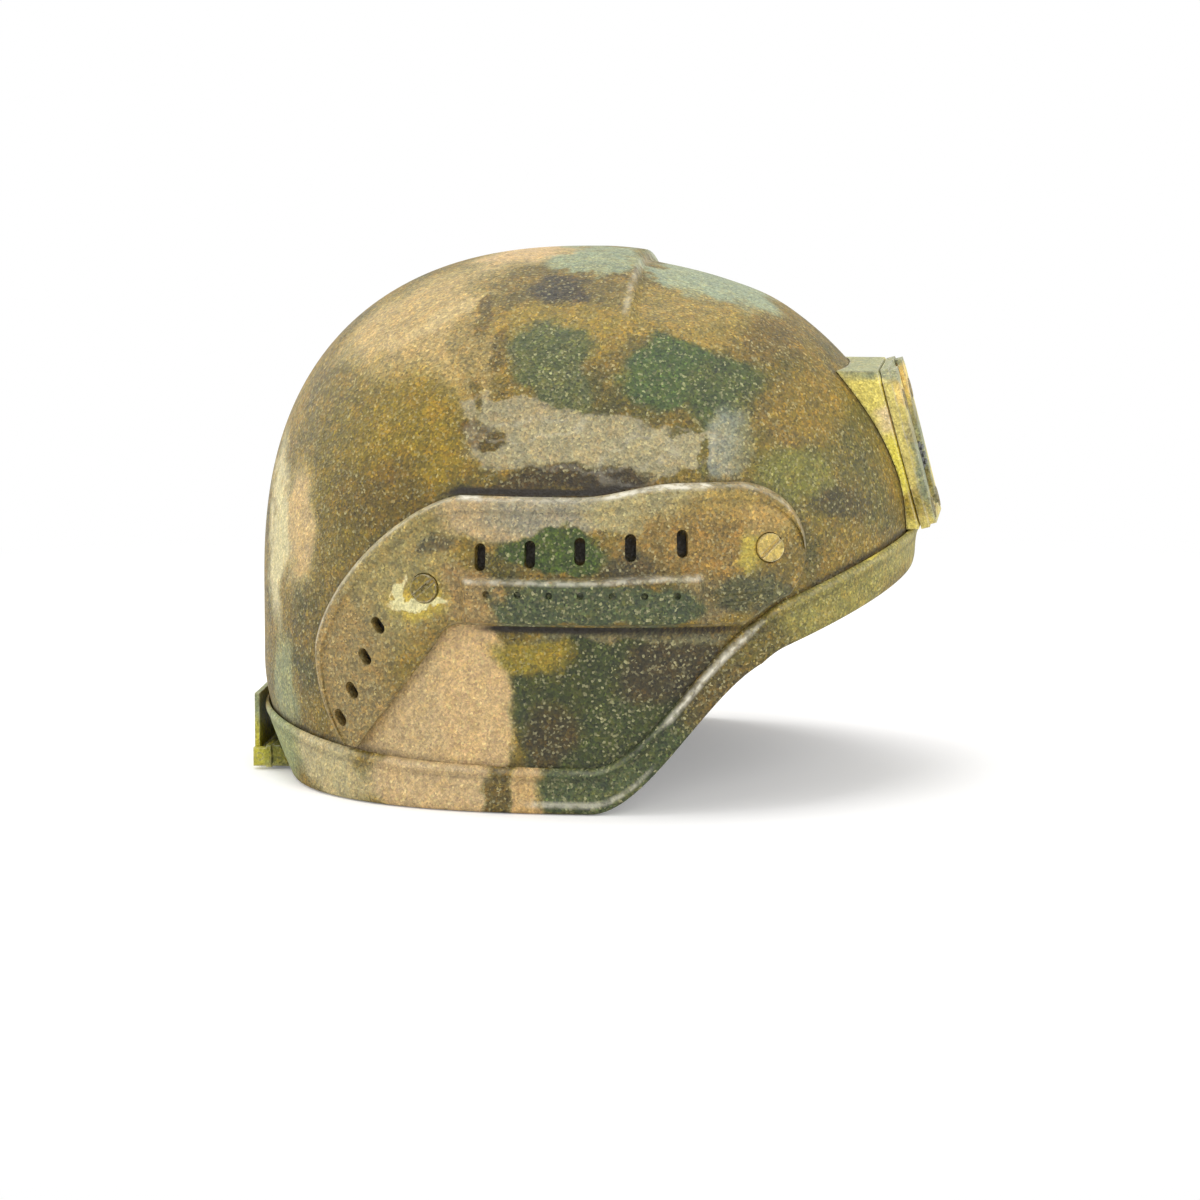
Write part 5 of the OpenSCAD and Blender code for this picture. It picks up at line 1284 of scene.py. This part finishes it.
def wall_ring(x, z, d, way=(0.0, 1.0)):
    """Band section on the right wall; way is the direction across the band in the side view."""
    x, z = x + ACROSS*way[0]*WEB_W/2, z + ACROSS*way[1]*WEB_W/2
    return np.stack([x, -side_y(x, z, d + THROUGH*WEB_T/2), z], -1)


def rear_ring(degrees, z, d):
    """Band section on the rear wall at an azimuth."""
    return skin_at(math.radians(degrees), z + ACROSS*WEB_W/2, d + THROUGH*WEB_T/2)


print("points round a strap:", len(ACROSS))


# %% Straps between their sections
def smooth_between(rings, times):
    """Sections between the given ones: a cubic through each pair, whose slope at a section is half the step
    from the section before it to the one after."""
    r = np.concatenate([2*rings[:1] - rings[1:2], rings, 2*rings[-1:] - rings[-2:-1]])
    s = (np.arange(times)/times)[None, :, None, None]
    a, b, c, d = (r[k:len(r) - 3 + k][:, None] for k in range(4))
    mid = 0.5*(2*b + (c - a)*s + (2*a - 5*b + 4*c - d)*s**2 + (3*b - a - 3*c + d)*s**3)
    return np.concatenate([mid.reshape(-1, *rings.shape[1:]), rings[-1:]])


def band(rings, times=8):
    """Skin over the smoothed sections, with a UV map of the run along their centres and the place across."""
    rings = smooth_between(np.stack(rings), times)
    run = np.concatenate([[0], np.cumsum(np.linalg.norm(np.diff(rings.mean(1), axis=0), axis=1))])
    uv = np.stack(np.broadcast_arrays(run[:, None], ACROSS[None, :]*WEB_W/2), -1)
    return skin(rings, uv=uv)


def straight_strap(start, end):
    """Eight sections in a straight line of the side view, each square to that line."""
    start, end = np.array(start, float), np.array(end, float)
    along = (end - start)/np.linalg.norm(end - start)
    way = np.array([-along[1], along[0]])
    way = way if way[1] > 0 else -way
    return band([wall_ring(*(start + (end - start)*k), WEB_D, way) for k in np.linspace(0, 1, 8)])


def round_nape(z, d, first, last, count):
    """Sections on the rear wall between two azimuths."""
    return [rear_ring(t, z, d) for t in np.linspace(first, last, count)]


chin_start = [wall_ring(8, 22, WEB_D), wall_ring(-8, 24.5, WEB_D)]
chin_left_start = [wall_ring(x, CHIN_Z, d) for x, d in ((-67.4, -24), (-80, -18.5), (-92, -14.5))]
straps = {
    "front_strap_right": straight_strap((73, 81), (24, 46)),
    "rear_strap_right": straight_strap((-52, 65), (0, 44)),
    "nape_strap_right": band(round_nape(58, NAPE_D, 246, 195, 10)),
    "chin_strap_right": band(chin_start + round_nape(CHIN_Z, CHIN_D, 262, 191, 15)),
    "chin_strap_left": other_side(band(chin_left_start + round_nape(CHIN_Z, CHIN_D, 219, 191, 7))),
    "chin_strap_tail": other_side(band(chin_start + [wall_ring(-21, CHIN_Z, -18.8)]))}
for name in ("front_strap", "rear_strap", "nape_strap"):
    straps[f"{name}_left"] = other_side(straps[f"{name}_right"])
for name, part in straps.items():
    add_piece(f"{name}_webbing", [part], webbing, [name], sharp=180)

# %% [markdown]
# Bar tacks hold the webbing where it is doubled. Each is a close row of short stitches, and a stitch is a small
# bent tube that dips into the webbing at both ends.

# %% Bar tacks
STITCHES, STITCH_STEP, STITCH_HALF, THREAD = 9, 0.9, 1.9, 0.34


def stitches(x, z, way, rows=(-7.5, 0, 7.5)):
    """Rows of stitches across a strap on the right wall; way is the direction across. A stitch stands 0.25 mm
    proud and sinks by 0.55 mm times the fourth power of the way to its end."""
    way = np.array(way)/np.linalg.norm(way)
    along = np.array([way[1], -way[0]])
    s = np.linspace(-1, 1, 6)
    deep = WEB_D - WEB_T/2 - 0.25 + 0.55*s**4
    a = np.radians(60*np.arange(6))[None, :, None]
    oval = THREAD*(np.cos(a)*np.array([along[0], 0, along[1]]) + np.sin(a)*np.array([0, 1.0, 0]))
    made = []
    for row in rows:
        for k in range(STITCHES):
            spot = np.array([x, z]) + way*row + along*(k - (STITCHES - 1)/2)*STITCH_STEP
            line_x, line_z = (spot + way*s[:, None]*STITCH_HALF).T
            path = np.stack([line_x, -side_y(line_x, line_z, deep), line_z], -1)
            made.append(skin(path[:, None] + oval))
    return made


tacks = stitches(66, 76, (-0.58, 0.81)) + stitches(-44, 61.8, (0.37, 0.93))
add_piece("bar_tacks", tacks + [other_side(part) for part in tacks], thread, sharp=180)

# %% [markdown]
# ## Chin cup
# The cup is thin foam between two cloths, moulded so that its face has a shallow channel and a stitched border.
# It is a small pad on the chin strap, so the pad's formula makes it.

# %% Chin cup
CUP = ("rear", (0, CHIN_Z), (44, 11), CHIN_D - WEB_T/2 - 0.8, 7)
cup_part = pad_surface(*CUP, channels=1, pucker=0.03)
cup = add_piece("chin_cup_cover", [cup_part], cup_cloth, ["chin_cup"], sharp=180)
add_piece("chin_cup_binding", [binding_of(*CUP)], binding, sharp=180)

# %% [markdown]
# ## Pieces that stay as they are
# The plates, screws, nuts, buckle and clip are exact solids already, so they keep their meshes and get only a
# material. The Bevel node in each one rounds the sharp edges for the light.

# %% Materials for the CAD pieces
FINISHES = {
    plate_coat: ["shroud_plate"], bolt_coat: ["rail_bolts", "shroud_screws"],
    clip_coat: ["goggle_clip_base", "goggle_clip_latch", "goggle_clip_pin", "clip_spacer"],
    acetal: ["shroud_lock", "strap_joiners", "buckle_socket", "buckle_plug", "buckle_prong_upper",
             "buckle_prong_lower", "clip_backing"],
    oxide: ["rail_nuts", "harness_brackets", "lock_keeper", "shroud_nuts", "goggle_clip_screws",
            "goggle_clip_nuts"]}
for material, names in FINISHES.items():
    for name in names:
        nodes[name].data.materials.clear()
        nodes[name].data.materials.append(material)
print("CAD pieces dressed:", sum(len(names) for names in FINISHES.values()))

# %% [markdown]
# ## Stage
# A helmet is photographed on a pale sweep of matt paper, whose far end is out of sight. A curved sheet could be
# modelled. A flat floor whose material goes over into plain white does the same for the camera, and keeps the
# shadow near the helmet.

# %% Floor
FADE_START, FADE_END = 0.3, 0.75


def pale_floor():
    """Matt white, seen by the camera with a glow of 0.16. By the distance from the helmet, between 0.3 and
    0.75 m, it goes over into plain white, so that no horizon shows. Other rays see the matt white only."""
    material, tree, spot = new_material("matt white sweep")
    matt = add(tree, "BsdfDiffuse", {"Color": tint("#f4f3f2")})
    glow = add(tree, "Emission", {"Color": tint("#ffffff"), "Strength": 0.16})
    both = add(tree, "AddShader", {0: matt, 1: glow})
    white = add(tree, "Emission", {"Color": tint("#ffffff"), "Strength": 1.0})
    away = add(tree, "VectorMath", {0: spot}, operation="LENGTH")
    far = add(tree, "MapRange", {0: away, 1: FADE_START, 2: FADE_END}, **SOFT)
    seen = add(tree, "MixShader", {0: far, 1: both, 2: white})
    ray = add(tree, "LightPath").outputs["Is Camera Ray"]
    pick = add(tree, "MixShader", {0: ray, 1: matt, 2: seen})
    add(tree, "OutputMaterial", {0: pick})
    return material


floor_mesh = bpy.data.meshes.new("floor")
floor_mesh.from_pydata([(-6, -3, 0), (6, -3, 0), (6, 9, 0), (-6, 9, 0)], [], [(0, 1, 2, 3)])
floor_mesh.materials.append(pale_floor())
floor = bpy.data.objects.new("floor", floor_mesh)
scene.collection.objects.link(floor)
print("floor of", *[round(size) for size in floor.dimensions[:2]], "m")

# %% [markdown]
# ## Light
# One large soft light from above and a little behind draws the round of the crown. A softer one stands on the
# camera's side, one lights the front, and a low fill and one more behind keep the shadows open. The white world
# is weaker for the object than for the camera and for reflections.

# %% World
world = bpy.data.worlds.new("studio")
scene.world = world
world.use_nodes = True
sky = world.node_tree
sky.nodes.clear()
paths = add(sky, "LightPath")
mirrored = add(sky, "Math", {0: paths.outputs["Is Camera Ray"], 1: paths.outputs["Is Glossy Ray"]},
               operation="MAXIMUM")
strength = add(sky, "MapRange", {0: mirrored, 3: 0.55, 4: 1.0})
background = add(sky, "Background", {"Color": tint("#ffffff"), "Strength": strength})
add(sky, "OutputWorld", {0: background})
print("world:", world.name)


# %% Lights
def soft_light(name, spot, aim, width, height, watts):
    """Rectangular soft box at spot. It is tipped from straight down by the angle of the way to aim, and turned
    to that way's azimuth."""
    lamp = bpy.data.lights.new(name, "AREA")
    lamp.shape, lamp.size, lamp.size_y, lamp.energy = "RECTANGLE", width, height, watts
    obj = bpy.data.objects.new(name, lamp)
    ahead = np.array(aim, float) - np.array(spot, float)
    tip, turn = math.acos(-ahead[2]/np.linalg.norm(ahead)), math.atan2(ahead[1], ahead[0]) - math.pi/2
    obj.location, obj.rotation_euler = spot, (tip, 0, turn)
    scene.collection.objects.link(obj)
    print(f"{name} light: {watts} W")


soft_light("top", (-0.25, 0.15, 1.7), (0, 0, 0.1), 1.6, 1.4, 17)
soft_light("key", (0.9, -1.5, 1.2), (0, 0, 0.1), 0.9, 0.9, 10)
soft_light("front", (1.6, -0.2, 0.6), (0.1, 0, 0.1), 0.7, 0.8, 8)
soft_light("fill", (-1.4, -1.4, 0.6), (0, 0, 0.1), 1.2, 1.0, 7)
soft_light("rim", (-1.5, 0.7, 0.7), (0, 0, 0.1), 0.8, 1.2, 9)

# %% [markdown]
# ## Camera
# The camera stands 2.2 m away with a long lens, so that the far side hardly shrinks. It looks at the right
# side, turned 6 degrees towards the front and 8 degrees from above. The lens follows from the picture's scale:
# 0.4135 mm of helmet for each of 1200 pixels.

# %% Camera
AIM, PICTURE_WIDTH, SENSOR = np.array([0.0005, 0.0, 0.068]), 1200*0.0004135, 36
azimuth, elevation, distance = math.radians(6), math.radians(8), 2.2
toward = np.array([math.sin(azimuth)*math.cos(elevation), -math.cos(azimuth)*math.cos(elevation),
                   math.sin(elevation)])
lens = bpy.data.cameras.new("camera")
lens.lens, lens.sensor_width, lens.clip_end = SENSOR*distance/PICTURE_WIDTH, SENSOR, 50
camera = bpy.data.objects.new("camera", lens)
camera.location = AIM + toward*distance
camera.rotation_euler = (math.pi/2 - elevation, 0, azimuth)
scene.collection.objects.link(camera)
scene.camera = camera
scene.view_settings.view_transform = "Standard"
print("camera at", [round(v, 3) for v in camera.location], "lens", round(lens.lens, 1), "mm")
